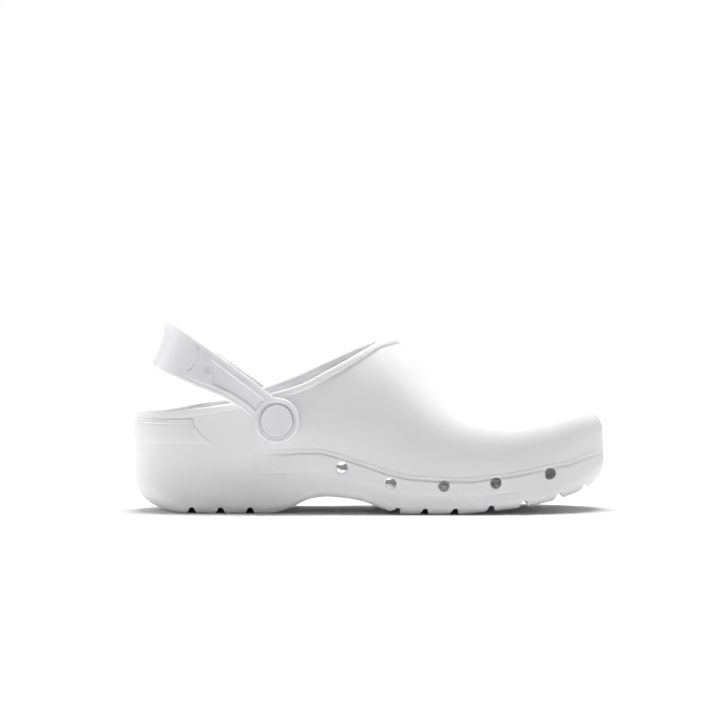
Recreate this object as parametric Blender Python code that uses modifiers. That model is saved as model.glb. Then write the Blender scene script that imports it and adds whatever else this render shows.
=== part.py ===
"""Moulded work clog for the right foot: toe towards +X, lateral side towards -Y, sole on Z = 0.

Upper and sole are one moulded shell. Its wall is a loft of lines that climb from the sole's outline
to the collar or, ahead of the collar, to the ridge of the instep. The tables hold shares of named sizes.
"""
import math

import bmesh
import bpy
import numpy as np
from mathutils import Matrix, Vector

# Driving sizes, in metres
LENGTH = 0.276
BALL_WIDTH = 0.104
INSTEP = 0.104
COLLAR_HEEL = 0.0576
WALL = 0.0032
HEEL_FLOOR = 0.024
ARCH_RISE = 0.0099
TOE_SPRING = 0.0165
BAND_TOP = 0.0358
BAND_DEPTH = 0.0014
INNER_FILLET = 0.006
GAP = 0.0003

# Side band: least height of its foot and of itself, height of its two steps, of the slope above its ridge
# and of the wall before the vault. Its lower step fades out between two shares of the length.
BAND_FOOT = 0.0008
BAND_LEAST = 0.0030
BAND_STEP = 0.0007
BAND_SLOPE = 0.0030
VAULT_START = 0.0040
MERGE_FROM = 0.74
MERGE_TO = 0.82
BAND_BELOW = 0.35
BAND_RIDGE = 0.75
BAND_ABOVE = 0.30

# Hubs: the lines of the heel and toe caps run to these two points of the spine
HEEL_HUB = 0.035
TOE_HUB = 0.236
HEEL_CAP = 0.037
TOE_CAP = 0.058
HEEL_CAP_POWER = 2.2
TOE_CAP_POWER = 2.35
TOE_BOX_POWER = 4.4
FRONT_STEP = 0.0008

# Lip round the collar
LIP_HEIGHT = 0.0044
LIP_PROUD = 0.0010
LIP_PROUD_HEEL = 0.0004
LIP_INSIDE = 0.0003
LIP_ROUND = 0.0013

# Rounded edge of the sole: how far it runs in and rises, at the heel's back, the sides and the toe
EDGE_HEEL_RUN = 0.024
EDGE_HEEL_RISE = 0.020
EDGE_SIDE_RUN = 0.005
EDGE_SIDE_RISE = 0.005
EDGE_TOE_RUN = 0.012
EDGE_TOE_RISE = 0.012

# Tread and vents
GROOVE_WIDTH = 0.0056
GROOVE_ROOT = 0.0028
GROOVE_DEPTH = 0.0027
GROOVE_ROUND = 0.0008
GROOVE_SHIFT = 0.0008
GROOVE_BAR = 0.009
VENT_RADIUS = 0.00325
VENT_REACH = 0.016

# Raised panel round the heel
PANEL_PROUD = 0.0007
PANEL_ROOT = 0.0015
PANEL_TOP = 0.0549
PANEL_BOTTOM = 0.0404
PANEL_END_TOP = 0.0358
PANEL_END_BOTTOM = 0.0505
PANEL_END_CURVE = 0.5

# Insole
INSOLE_THICKNESS = 0.0030
INSOLE_EDGE_LOW = 0.0050
INSOLE_EDGE_HIGH = 0.0014

# Heel strap and its two rivets
PIVOT_ALONG = 0.0837
PIVOT_HEIGHT = 0.0543
BOSS_RADIUS = 0.0112
BOSS_PROUD = 0.0003
KEEPER_PAD = 0.0016
CUT_PAST = 0.004
STRAP_TILT = math.radians(32.2)
STRAP_TWIST = math.radians(1.2)
STRAP_REACH = 0.0795
STRAP_THICKNESS = 0.0036
STRAP_BEND_POWER = 2.6
EYE_RADIUS = 0.0133
EYE_END = 0.0084
CUP_FLARE = 0.0020
PANEL_RECESS = 0.0009
RIM_WIDTH = 0.0048
RECESS_START = 0.0130
RECESS_END = 0.0600
RECESS_SLOPE = 0.0007
RECESS_IN = 0.002
RECESS_OUT = 0.012
BUTTON_RADIUS = 0.00935
BUTTON_HEIGHT = 0.0024
BUTTON_SEAT = 0.0015
RIVET_ROUND = 0.0006
SHAFT_RADIUS = 0.0040
KEEPER_RADIUS = 0.0085
KEEPER_HEIGHT = 0.0030
KEEPER_BORE_DEPTH = 0.0018

# Share of the length, then shares of half the ball's width: lateral edge, medial edge, spine
PLAN = (
    (0.00, -0.715, 0.725, 0.00),
    (0.13, -0.728, 0.738, 0.00),
    (0.25, -0.755, 0.745, 0.00),
    (0.36, -0.805, 0.748, 0.02),
    (0.47, -0.890, 0.790, 0.05),
    (0.57, -0.965, 0.875, 0.07),
    (0.65, -1.000, 0.955, 0.08),
    (0.73, -0.992, 1.000, 0.09),
    (0.82, -0.930, 0.995, 0.11),
    (0.88, -0.850, 0.970, 0.13),
    (0.95, -0.740, 0.930, 0.14),
    (1.00, -0.640, 0.890, 0.14),
)

# Share of the length, then the ridge line of the upper as a share of INSTEP and the power of its section.
# Behind the collar's front the ridge is only the height that the walls lean towards.
CROWN = (
    (0.000, 1.350, 2.00),
    (0.200, 1.350, 2.00),
    (0.300, 1.300, 2.00),
    (0.420, 1.160, 2.00),
    (0.500, 1.070, 2.05),
    (0.530, 1.034, 2.10),
    (0.545, 1.000, 2.10),
    (0.580, 0.898, 2.20),
    (0.614, 0.799, 2.25),
    (0.648, 0.718, 2.35),
    (0.685, 0.651, 2.45),
    (0.745, 0.598, 2.55),
    (0.805, 0.576, 2.65),
    (0.855, 0.579, 2.70),
    (1.000, 0.579, 2.70),
)

# Share of the length, then the rise of the collar from the heel as a share of INSTEP - COLLAR_HEEL,
# on the lateral and on the medial side
COLLAR = (
    (0.000, 0.000, 0.000),
    (0.046, 0.017, 0.017),
    (0.115, 0.060, 0.060),
    (0.177, 0.110, 0.115),
    (0.210, 0.142, 0.155),
    (0.297, 0.275, 0.345),
    (0.353, 0.375, 0.478),
    (0.417, 0.570, 0.657),
    (0.480, 0.778, 0.832),
    (0.522, 0.915, 0.930),
    (0.545, 0.955, 0.957),
    (0.560, 0.965, 0.965),
    (0.600, 0.980, 0.980),
)

# Share of the length, then the band's lower line and its ridge as shares of BAND_TOP, and how far it shows
BAND = (
    (0.000, 0.670, 0.970, 0.00),
    (0.270, 0.670, 0.960, 0.00),
    (0.300, 0.673, 0.960, 0.35),
    (0.360, 0.685, 0.970, 1.00),
    (0.391, 0.685, 0.970, 1.00),
    (0.434, 0.590, 0.895, 1.00),
    (0.488, 0.510, 0.763, 1.00),
    (0.545, 0.403, 0.618, 1.00),
    (0.603, 0.311, 0.543, 1.00),
    (0.700, 0.308, 0.515, 1.00),
    (0.745, 0.328, 0.551, 1.00),
    (0.786, 0.370, 0.585, 1.00),
    (0.840, 0.440, 0.660, 0.90),
    (0.880, 0.510, 0.725, 0.75),
    (0.918, 0.590, 0.770, 0.60),
    (0.950, 0.690, 0.850, 0.45),
    (1.000, 0.800, 0.940, 0.30),
)

# Share of the length, then the arch as a share of ARCH_RISE and the toe as a share of TOE_SPRING
BOTTOM = (
    (0.000, 0.00, 0.00),
    (0.287, 0.00, 0.00),
    (0.309, 0.11, 0.00),
    (0.339, 0.43, 0.00),
    (0.377, 0.90, 0.00),
    (0.413, 1.00, 0.00),
    (0.446, 0.92, 0.00),
    (0.478, 0.78, 0.00),
    (0.521, 0.36, 0.00),
    (0.546, 0.12, 0.00),
    (0.565, 0.00, 0.00),
    (0.680, 0.00, 0.00),
    (0.750, 0.00, 0.10),
    (0.797, 0.00, 0.19),
    (0.846, 0.00, 0.31),
    (0.890, 0.00, 0.46),
    (0.944, 0.00, 0.68),
    (1.000, 0.00, 1.00),
)

# Share of the length, then the height of the inner floor as a share of HEEL_FLOOR
FLOOR = (
    (0.00, 1.00),
    (0.29, 0.99),
    (0.36, 0.94),
    (0.44, 0.80),
    (0.50, 0.59),
    (0.55, 0.43),
    (0.62, 0.39),
    (0.76, 0.39),
    (0.84, 0.47),
    (0.89, 0.59),
    (0.94, 0.76),
    (1.00, 0.95),
)

# Share of the strap's reach, then its lower and upper edge as shares of EYE_RADIUS, the cup's flare
# as a share of CUP_FLARE and its lean, which is how far the upper edge runs on beyond the lower one
STRAP = (
    (0.100, -0.775, 0.775, 0.0, 0.00),
    (0.170, -0.500, 0.800, 0.0, 0.00),
    (0.275, -0.410, 0.870, 0.0, 0.00),
    (0.380, -0.430, 0.900, 0.0, 0.00),
    (0.500, -0.540, 0.945, 0.0, 0.02),
    (0.650, -0.720, 0.990, 0.1, 0.08),
    (0.800, -0.860, 1.030, 0.3, 0.18),
    (0.930, -0.985, 1.060, 0.8, 0.26),
    (1.000, -1.000, 1.050, 1.0, 0.28),
)

# Centres of the tread's grooves as shares of the length, under the heel and under the forefoot
HEEL_GROOVES = (0.126, 0.187, 0.249)
FORE_GROOVES = (0.556, 0.615, 0.678, 0.755, 0.826, 0.901, 0.961)

# Vents: share of the length, then height as a share of BAND_TOP
VENTS = ((0.441, 0.762), (0.544, 0.489), (0.655, 0.450), (0.7645, 0.514), (0.8805, 0.654))

LATERAL = -1
MEDIAL = 1


def table_value(table, column, along):
    """Smooth curve through one column of a table, read at a place along the clog."""
    shares = np.array([row[0] for row in table])
    values = np.array([row[column] for row in table])
    step = np.diff(shares)
    slope = np.diff(values) / step
    product = slope[:-1] * slope[1:]
    total = np.where(product > 0, slope[:-1] + slope[1:], 1.0)
    tangent = np.concatenate(([slope[0]], np.where(product > 0, 2 * product / total, 0.0), [slope[-1]]))
    at = np.clip(along, shares[0], shares[-1])
    cell = np.clip(np.searchsorted(shares, at, side="right") - 1, 0, len(step) - 1)
    t = (at - shares[cell]) / step[cell]
    start, end = values[cell], values[cell + 1]
    pull = step[cell] * ((1 - t) * tangent[cell] - t * tangent[cell + 1])
    return start + (end - start) * t * t * (3 - 2 * t) + pull * t * (1 - t)


def along_clog(table, column, x):
    return table_value(table, column, np.asarray(x, dtype=float) / LENGTH)


def ease(value):
    value = np.clip(value, 0.0, 1.0)
    return value * value * (3 - 2 * value)


def half_base():
    """Half the ball's width at the upper, inside the band."""
    return BALL_WIDTH / 2 - BAND_DEPTH


def spine_y(x):
    return along_clog(PLAN, 3, x) * half_base()


def crown_height(x):
    return along_clog(CROWN, 1, x) * INSTEP


def rim_height(x, medial=False):
    """Middle of the collar's lip, which runs higher on the medial side."""
    rise = np.where(medial, along_clog(COLLAR, 2, x), along_clog(COLLAR, 1, x))
    return COLLAR_HEEL - LIP_HEIGHT / 2 + rise * (INSTEP - COLLAR_HEEL)


def bottom_height(x):
    return along_clog(BOTTOM, 1, x) * ARCH_RISE + along_clog(BOTTOM, 2, x) * TOE_SPRING


def floor_height(x):
    return along_clog(FLOOR, 1, x) * HEEL_FLOOR


def collar_front():
    """Where the rim meets the ridge of the instep."""
    low, high = LENGTH * 0.45, LENGTH * 0.60
    for _ in range(40):
        middle = (low + high) / 2
        if crown_height(middle) > rim_height(middle):
            low = middle
        else:
            high = middle
    return (low + high) / 2


def outline(x, side, cap=1.0):
    """Edge of the upper seen from above. The cap's factor closes it at heel and toe."""
    lateral = along_clog(PLAN, 1, x) * half_base()
    medial = along_clog(PLAN, 2, x) * half_base()
    return (lateral + medial) / 2 + side * cap * (medial - lateral) / 2


def cap_factor(x):
    heel = np.clip((HEEL_CAP - x) / HEEL_CAP, 0, 1) ** HEEL_CAP_POWER
    toe = np.clip((x - LENGTH + TOE_CAP) / TOE_CAP, 0, 1) ** TOE_CAP_POWER
    return (1 - heel) ** (1 / HEEL_CAP_POWER) * (1 - toe) ** (1 / TOE_CAP_POWER)


def even_steps(points, count):
    """Points at even distances along a polyline, both ends kept."""
    reach = np.concatenate(([0.0], np.cumsum(np.linalg.norm(np.diff(points, axis=0), axis=1))))
    wanted = np.linspace(0, reach[-1], count + 1)
    return np.stack([np.interp(wanted, reach, points[:, k]) for k in range(points.shape[1])], axis=1)


def toe_outline(side, count):
    """From the tip of the toe back to the toe hub."""
    angle = np.linspace(math.pi / 2, 0, 400)
    x = LENGTH - TOE_CAP + TOE_CAP * np.sin(angle) ** (2 / TOE_CAP_POWER)
    y = outline(x, side, np.cos(angle).clip(0) ** (2 / TOE_CAP_POWER))
    keep = x > TOE_HUB
    line = np.vstack((np.stack((x[keep], y[keep]), axis=1),
                      [TOE_HUB, outline(TOE_HUB, side, cap_factor(TOE_HUB))]))
    return even_steps(line, count)


def heel_outline(side, count):
    """From the heel hub to the middle of the heel's back."""
    angle = np.linspace(0, math.pi / 2, 400)
    x = HEEL_CAP - HEEL_CAP * np.sin(angle) ** (2 / HEEL_CAP_POWER)
    y = outline(x, side, np.cos(angle).clip(0) ** (2 / HEEL_CAP_POWER))
    keep = x < HEEL_HUB
    line = np.vstack(([HEEL_HUB, outline(HEEL_HUB, side, cap_factor(HEEL_HUB))],
                      np.stack((x[keep], y[keep]), axis=1)))
    return even_steps(line, count)


def side_places(fine):
    """Places along the side, from the toe hub to the heel hub, closer where the collar's front turns."""
    front = collar_front()
    ahead = np.linspace(TOE_HUB, front, 9 * fine + 1)[:-1]
    turn = front - FRONT_STEP * (np.arange(7 * fine + 1) / fine) ** 2
    behind = np.linspace(turn[-1], HEEL_HUB, 8 * fine + 1)[1:]
    return np.concatenate((ahead, turn, behind))


def half_stations(side, fine):
    """Outline points and the spine points that their lines run to, from the toe's tip to the heel's back."""
    toe = toe_outline(side, 7 * fine)[:-1]
    heel = heel_outline(side, 6 * fine)[1:]
    places = side_places(fine)
    edge = np.stack((places, outline(places, side, cap_factor(places))), axis=1)
    hubs = np.concatenate((np.full(len(toe), TOE_HUB), places, np.full(len(heel), HEEL_HUB)))
    return np.vstack((toe, edge, heel)), np.stack((hubs, spine_y(hubs)), axis=1)


def stations(fine=1):
    """Closed loop of stations: down the medial side to the heel and back up the lateral side."""
    medial, medial_hub = half_stations(MEDIAL, fine)
    lateral, lateral_hub = half_stations(LATERAL, fine)
    foot = np.vstack((medial, lateral[-2:0:-1]))
    hub = np.vstack((medial_hub, lateral_hub[-2:0:-1]))
    return foot, hub


def outward(foot):
    """Unit normals of the outline, in plan."""
    tangent = np.roll(foot, -1, axis=0) - np.roll(foot, 1, axis=0)
    tangent /= np.linalg.norm(tangent, axis=1, keepdims=True)
    return np.stack((tangent[:, 1], -tangent[:, 0]), axis=1)


def cap_share(x):
    """0 along the sides, growing to 1 at the heel's back and at the toe's tip."""
    heel = ease((HEEL_HUB - x) / HEEL_HUB)
    toe = ease((x - TOE_HUB) / (LENGTH - TOE_HUB))
    return heel, toe


def sole_edge(x):
    """Run and rise of the rounded lower edge."""
    heel, toe = cap_share(x)
    side = 1 - heel - toe
    run = EDGE_HEEL_RUN * heel + EDGE_TOE_RUN * toe + EDGE_SIDE_RUN * side
    return run, EDGE_HEEL_RISE * heel + EDGE_TOE_RISE * toe + EDGE_SIDE_RISE * side


def wall_levels(x):
    """Heights on the upright wall: top of the sole's edge, band's lower line, ridge, start of the vault."""
    edge = bottom_height(x) + sole_edge(x)[1]
    low = np.maximum(along_clog(BAND, 1, x) * BAND_TOP, edge + BAND_FOOT)
    ridge = np.maximum(along_clog(BAND, 2, x) * BAND_TOP, low + BAND_LEAST)
    return edge, low, ridge, ridge + VAULT_START


def wall_rows(x):
    """Rows of the upright wall, bottom to top: height, and how far the surface stands out."""
    edge, low, ridge, vault = wall_levels(x)
    show = along_clog(BAND, 3, x) * BAND_DEPTH
    merge = ease((x / LENGTH - MERGE_FROM) / (MERGE_TO - MERGE_FROM))
    below = BAND_BELOW + (1 - BAND_BELOW) * merge
    half_step = BAND_STEP / 2
    shape = ((edge, below), (low - half_step, below), (low + half_step, 1.0), (ridge, BAND_RIDGE),
             (ridge + BAND_STEP, BAND_ABOVE), (ridge + BAND_SLOPE, 0.0), (vault, 0.0))
    return np.stack([row[0] for row in shape], axis=1), np.stack([row[1] * show for row in shape], axis=1)


def vault_rows(foot, hub, count):
    """Lines of the upper from the wall to the rim or the spine, as points of shape (station, row, 3)."""
    x = foot[:, 0]
    start = wall_levels(x)[3]
    top = crown_height(hub[:, 0])
    toe = cap_share(x)[1]
    power = along_clog(CROWN, 2, x) * (1 - toe) + TOE_BOX_POWER * toe
    open_line = x <= collar_front() + 1e-7
    rim = rim_height(x, foot[:, 1] > spine_y(x))
    cut = np.clip((rim - start) / (top - start), 0, 1)
    last = np.where(open_line, np.arcsin(np.minimum(cut ** (power / 2), 1.0)), math.pi / 2)
    turn = last[:, None] * np.linspace(0, 1, 161)[None, :]
    run = 1 - np.cos(turn).clip(0) ** (2 / power[:, None])
    rise = np.sin(turn) ** (2 / power[:, None])
    flat = foot[:, None, :] + (hub - foot)[:, None, :] * run[:, :, None]
    height = start[:, None] + (top - start)[:, None] * rise
    lines = np.concatenate((flat, height[:, :, None]), axis=2)
    return np.stack([even_steps(line, count) for line in lines]), open_line


def surface_normals(grid):
    """Outward unit normals of a looped grid of points."""
    around = np.roll(grid, -1, axis=0) - np.roll(grid, 1, axis=0)
    up = np.gradient(grid, axis=1)
    normal = np.cross(around, up)
    return normal / np.maximum(np.linalg.norm(normal, axis=2, keepdims=True), 1e-12)


def pair_spine(points, foot, open_line):
    """Closed lines of both sides end on one shared point of the spine."""
    count = len(points)
    for k in range(1, count):
        other = count - k
        if k < other and not open_line[k]:
            middle = (points[k] + points[other]) / 2
            points[k] = points[other] = middle
    front = np.isclose(foot[:, 0], collar_front(), atol=1e-7)
    cap = foot[:, 0] > TOE_HUB + 1e-7
    points[front] = points[front].mean(axis=0)
    hub = np.isclose(foot[:, 0], TOE_HUB, atol=1e-7)
    points[cap | hub] = points[cap | hub].mean(axis=0)
    return points


def base_rows(foot, heights):
    """Upright rows over the outline."""
    flat = np.repeat(foot[:, None, :], heights.shape[1], axis=1)
    return np.concatenate((flat, heights[:, :, None]), axis=2)


def inward_rows(foot, hub, inset, count):
    """Points from the spine out to a given inset from the outline, in plan."""
    reach = np.linalg.norm(hub - foot, axis=1)
    share = 1 - (1 - inset / reach)[:, None] * (1 - np.linspace(1, 0, count)[None, :])
    return foot[:, None, :] + (hub - foot)[:, None, :] * share[:, :, None]


def rounded_rows(foot, hub, start, run, rise, count):
    """Quarter ellipse from inset start + run up to inset start: plan points and heights."""
    reach = np.linalg.norm(hub - foot, axis=1)
    angle = np.linspace(0, math.pi / 2, count + 1)[1:]
    inset = start + run[:, None] * (1 - np.sin(angle))[None, :]
    share = inset / reach[:, None]
    flat = foot[:, None, :] + (hub - foot)[:, None, :] * share[:, :, None]
    return flat, rise[:, None] * (1 - np.cos(angle))[None, :]


def shell_grid(fine=1):
    """Outer and inner surface of the clog as two grids, and which of its lines end at the collar."""
    foot, hub = stations(fine)
    x = foot[:, 0]
    normal = outward(foot)
    run, rise = sole_edge(x)

    sole_flat = inward_rows(foot, hub, run, 3)
    sole = np.concatenate((sole_flat, bottom_height(sole_flat[:, :, :1])), axis=2)
    heights, proud = wall_rows(x)
    edge_flat, lift = rounded_rows(foot, hub, 0.0, run, rise, 5)
    edge_share = lift / rise[:, None]
    edge_flat = edge_flat + normal[:, None, :] * (proud[:, :1] * edge_share)[:, :, None]
    local = bottom_height(edge_flat[:, :, 0])
    edge_height = local + (heights[:, :1] - local) * edge_share
    edge = np.concatenate((edge_flat, edge_height[:, :, None]), axis=2)[:, :-1]

    upright = base_rows(foot, heights)
    vault, open_line = vault_rows(foot, hub, 7 * fine)
    plain = np.concatenate((upright, vault[:, 1:]), axis=1)
    normals = surface_normals(plain)
    normals[x > TOE_HUB - 1e-7, -1] = (0, 0, 1)
    wall = upright.copy()
    wall[:, :, :2] += normal[:, None, :] * proud[:, :, None]
    outer = np.concatenate((sole, edge, wall, vault[:, 1:]), axis=1)
    outer[:, -1] = pair_spine(outer[:, -1].copy(), foot, open_line)

    first = upright.shape[1] - 1
    inner_vault = plain[:, first:] - normals[:, first:] * WALL
    inner_vault[:, -1] = pair_spine(inner_vault[:, -1].copy(), foot, open_line)
    fillet = np.full(len(foot), INNER_FILLET)
    corner_flat, corner_lift = rounded_rows(foot, hub, WALL, fillet, fillet, 3)
    floor_flat = inward_rows(foot, hub, fillet + WALL, 3)
    floor = np.concatenate((floor_flat, floor_height(floor_flat[:, :, :1])), axis=2)
    corner_height = floor_height(corner_flat[:, :, 0]) + corner_lift
    corner = np.concatenate((corner_flat, corner_height[:, :, None]), axis=2)
    inner = np.concatenate((floor, corner, inner_vault), axis=1)
    return outer, inner, open_line, normals[:, -1]


def grid_faces(points, rows):
    """Quads of a looped grid of vertex numbers; points gives each number's shared vertex."""
    faces = []
    count = points.shape[0]
    for k in range(count):
        after = (k + 1) % count
        for row in rows:
            corners = [points[k, row], points[after, row], points[after, row + 1], points[k, row + 1]]
            loop = [c for n, c in enumerate(corners) if c != corners[n - 1]]
            if len(set(loop)) > 2:
                faces.append(loop)
    return faces


def merged(grids):
    """Shared vertex list of several grids, and each grid as vertex numbers."""
    seen, vertices, numbered = {}, [], []
    for grid in grids:
        numbers = np.zeros(grid.shape[:2], dtype=int)
        for k in range(grid.shape[0]):
            for row in range(grid.shape[1]):
                key = tuple(np.round(grid[k, row] * 1e7).astype(int))
                if key not in seen:
                    seen[key] = len(vertices)
                    vertices.append(grid[k, row])
                numbers[k, row] = seen[key]
        numbered.append(numbers)
    return vertices, numbered


def solid(name, vertices, faces, material, collection):
    """One object from vertices in clog coordinates, moved so that the origin is under its middle."""
    shift = Vector((-LENGTH / 2, 0, 0))
    mesh = bpy.data.meshes.new(name)
    mesh.from_pydata([tuple(Vector(v) + shift) for v in vertices], [], faces)
    work = bmesh.new()
    work.from_mesh(mesh)
    bmesh.ops.recalc_face_normals(work, faces=work.faces)
    if work.calc_volume(signed=True) < 0:
        bmesh.ops.reverse_faces(work, faces=work.faces)
    work.to_mesh(mesh)
    work.free()
    mesh.shade_smooth()
    mesh.set_sharp_from_angle(angle=math.radians(35))
    if material:
        mesh.materials.append(material)
    item = bpy.data.objects.new(name, mesh)
    collection.objects.link(item)
    return item


def build_shell(material, parts, cutters):
    outer, inner, open_line, _ = shell_grid()
    vertices, (outside, inside) = merged((outer, inner))
    faces = grid_faces(outside, range(outside.shape[1] - 1))
    faces += [face[::-1] for face in grid_faces(inside, range(inside.shape[1] - 1))]
    rim = np.stack((outside[:, -1], inside[:, -1]), axis=1)
    count = len(rim)
    for k in range(count):
        after = (k + 1) % count
        if open_line[k] and open_line[after]:
            faces.append([rim[k, 0], rim[after, 0], rim[after, 1], rim[k, 1]])
    shell = solid("clog_shell", vertices, faces, material, parts)
    combine(shell, build_lip(cutters), "UNION")
    combine(shell, build_panel(cutters), "UNION")
    for side in (LATERAL, MEDIAL):
        combine(shell, build_boss(side, cutters), "UNION")
    for cutter in build_cutters(cutters):
        combine(shell, cutter, "DIFFERENCE")
    return shell


def combine(item, other, operation):
    step = item.modifiers.new(other.name, "BOOLEAN")
    step.object = other
    step.operation = operation
    step.solver = "EXACT"


def guide(item):
    item.hide_render = True
    item.display_type = "WIRE"
    return item


def lip_profile():
    """Section of the lip: distance out of the wall, distance along it towards the opening."""
    out, back = LIP_PROUD, -(WALL + LIP_INSIDE)
    half = LIP_HEIGHT / 2
    centres = ((out - LIP_ROUND, half - LIP_ROUND, 0), (back + LIP_ROUND, half - LIP_ROUND, 90))
    points = [(back, -half), (out - LIP_PROUD, -half), (out, -half + LIP_PROUD)]
    for across, along, begin in centres:
        for angle in (begin, begin + 45, begin + 90):
            turn = math.radians(angle)
            points.append((across + LIP_ROUND * math.cos(turn), along + LIP_ROUND * math.sin(turn)))
    return points


def rim_frames():
    """Rim points in a loop, each with its outward normal and its direction towards the opening."""
    outer, _, open_line, normals = shell_grid()
    keep = np.flatnonzero(open_line)[:-1]
    rim, normal, below = outer[keep, -1], normals[keep].copy(), outer[keep, -2]
    normal[0, 1] = 0.0
    tangent = np.roll(rim, -1, axis=0) - np.roll(rim, 1, axis=0)
    tangent /= np.linalg.norm(tangent, axis=1, keepdims=True)
    normal -= tangent * np.sum(normal * tangent, axis=1, keepdims=True)
    normal /= np.linalg.norm(normal, axis=1, keepdims=True)
    upward = np.cross(normal, tangent)
    flip = np.sign(np.sum(upward * (rim - below), axis=1, keepdims=True))
    flip[0] = np.sign(upward[0, 2])
    return rim, normal, upward * flip


def build_lip(cutters):
    rim, normal, upward = rim_frames()
    profile = lip_profile()
    fade = ease((rim[:, 0] - HEEL_HUB) / (PIVOT_ALONG - HEEL_HUB))
    proud = (LIP_PROUD_HEEL + (LIP_PROUD - LIP_PROUD_HEEL) * fade) / LIP_PROUD
    grid = np.stack([rim + normal * out * np.where(out > 0, proud, 1.0)[:, None] + upward * along
                     for out, along in profile + profile[:1]], axis=1)
    vertices, (numbers,) = merged((grid,))
    faces = grid_faces(numbers, range(numbers.shape[1] - 1))
    return guide(solid("lip", vertices, faces, None, cutters))


def panel_line(side, end, count):
    """Even points on the outline from the panel's front end to the middle of the heel's back."""
    ahead = np.linspace(PANEL_END_BOTTOM, HEEL_HUB, 40)[:-1]
    edge = np.stack((ahead, outline(ahead, side, cap_factor(ahead))), axis=1)
    line = np.vstack((edge, heel_outline(side, 60)))
    return even_steps(line[line[:, 0] <= end + 1e-9], count)


def build_panel(cutters):
    """Raised panel that wraps the back of the heel; its front ends slant."""
    levels = ((PANEL_BOTTOM, -PANEL_ROOT), (PANEL_BOTTOM, 0.0), (PANEL_BOTTOM + PANEL_PROUD, PANEL_PROUD),
              (PANEL_TOP - PANEL_PROUD, PANEL_PROUD), (PANEL_TOP, 0.0), (PANEL_TOP, -PANEL_ROOT))
    rows = []
    for height, proud in levels:
        share = (height - PANEL_BOTTOM) / (PANEL_TOP - PANEL_BOTTOM)
        end = PANEL_END_BOTTOM + (PANEL_END_TOP - PANEL_END_BOTTOM) * share ** PANEL_END_CURVE
        line = np.vstack((panel_line(LATERAL, end, 10), panel_line(MEDIAL, end, 10)[-2::-1]))
        tangent = np.gradient(line, axis=0)
        tangent /= np.linalg.norm(tangent, axis=1, keepdims=True)
        out = np.stack((-tangent[:, 1], tangent[:, 0]), axis=1)
        flat = line + out * (proud - wall_lean(line[:, 0], height))[:, None]
        rows.append(np.concatenate((flat, np.full((len(line), 1), height)), axis=1))
    grid = np.stack(rows, axis=1)
    vertices = list(grid.reshape(-1, 3))
    last, wide = grid.shape[0] - 1, grid.shape[1]
    faces = []
    for k in range(last):
        for row in range(wide):
            other = (row + 1) % wide
            faces.append([k * wide + row, (k + 1) * wide + row, (k + 1) * wide + other, k * wide + other])
    faces.append(list(range(wide)))
    faces.append([last * wide + row for row in range(wide)][::-1])
    return guide(solid("heel_panel", vertices, faces, None, cutters))


def pivot_face():
    """Distance of the bosses' outer faces from the middle plane: outside the wall under the whole eye."""
    front = PIVOT_ALONG + EYE_RADIUS
    return float(max(abs(outline(front, side)) for side in (LATERAL, MEDIAL))) + BOSS_PROUD


def pivot_back():
    """Distance of the pads' inner faces from the middle plane."""
    return float(min(abs(outline(PIVOT_ALONG, side)) for side in (LATERAL, MEDIAL))) - WALL - KEEPER_PAD


def wall_lean(x, height):
    """How far the wall has leaned in at a height, measured from the outline."""
    start = wall_levels(x)[3]
    rise = np.clip((height - start) / (crown_height(x) - start), 0, 1)
    reach = np.abs(outline(x, LATERAL, cap_factor(x)))
    power = along_clog(CROWN, 2, x)
    return reach * (1 - (1 - rise ** power) ** (1 / power))


def disc(name, radius, near, far, side, collection, sides=32):
    """Cylinder along Y at the pivot, between two distances from the middle plane."""
    bpy.ops.mesh.primitive_cylinder_add(vertices=sides, radius=radius, depth=far - near)
    item = bpy.context.object
    item.name = item.data.name = name
    place = Vector((PIVOT_ALONG - LENGTH / 2, side * (near + far) / 2, PIVOT_HEIGHT))
    item.matrix_world = Matrix.Translation(place) @ Matrix.Rotation(math.pi / 2, 4, "X")
    move_to(item, collection)
    return guide(item)


def move_to(item, collection):
    for owner in list(item.users_collection):
        owner.objects.unlink(item)
    collection.objects.link(item)


def build_boss(side, cutters):
    return disc(f"boss_{side_name(side)}", BOSS_RADIUS, pivot_back(), pivot_face(), side, cutters)


def side_name(side):
    return "lateral" if side == LATERAL else "medial"


def build_cutters(cutters):
    """Vents, rivet holes and tread grooves."""
    made = []
    for side in (LATERAL, MEDIAL):
        for number, (share, height) in enumerate(VENTS):
            along = share * LENGTH
            edge = abs(float(outline(along, side, cap_factor(along))))
            bpy.ops.mesh.primitive_cylinder_add(vertices=16, radius=VENT_RADIUS, depth=2 * VENT_REACH)
            item = bpy.context.object
            item.name = f"vent_{side_name(side)}_{number + 1}"
            place = Vector((along - LENGTH / 2, side * edge, height * BAND_TOP))
            item.matrix_world = Matrix.Translation(place) @ Matrix.Rotation(math.pi / 2, 4, "X")
            move_to(item, cutters)
            made.append(guide(item))
        made.append(disc(f"rivet_hole_{side_name(side)}", SHAFT_RADIUS + GAP, pivot_back() - CUT_PAST,
                         pivot_face() + CUT_PAST, side, cutters, 24))
    for number, share in enumerate(HEEL_GROOVES + FORE_GROOVES):
        made.append(build_groove(number, share * LENGTH, cutters))
    return made


def groove_section(shift):
    """Section of a tread groove: along the clog and up, with a narrower root that shift moves forward."""
    mouth, root = GROOVE_WIDTH / 2, GROOVE_ROOT / 2
    high = GROOVE_DEPTH - GROOVE_ROUND
    back, front = shift - root, shift + root
    return ((-mouth, -GROOVE_BAR), (-mouth, 0.0), (back, high), (back + GROOVE_ROUND, GROOVE_DEPTH),
            (front - GROOVE_ROUND, GROOVE_DEPTH), (front, high), (mouth, 0.0), (mouth, -GROOVE_BAR))


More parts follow.
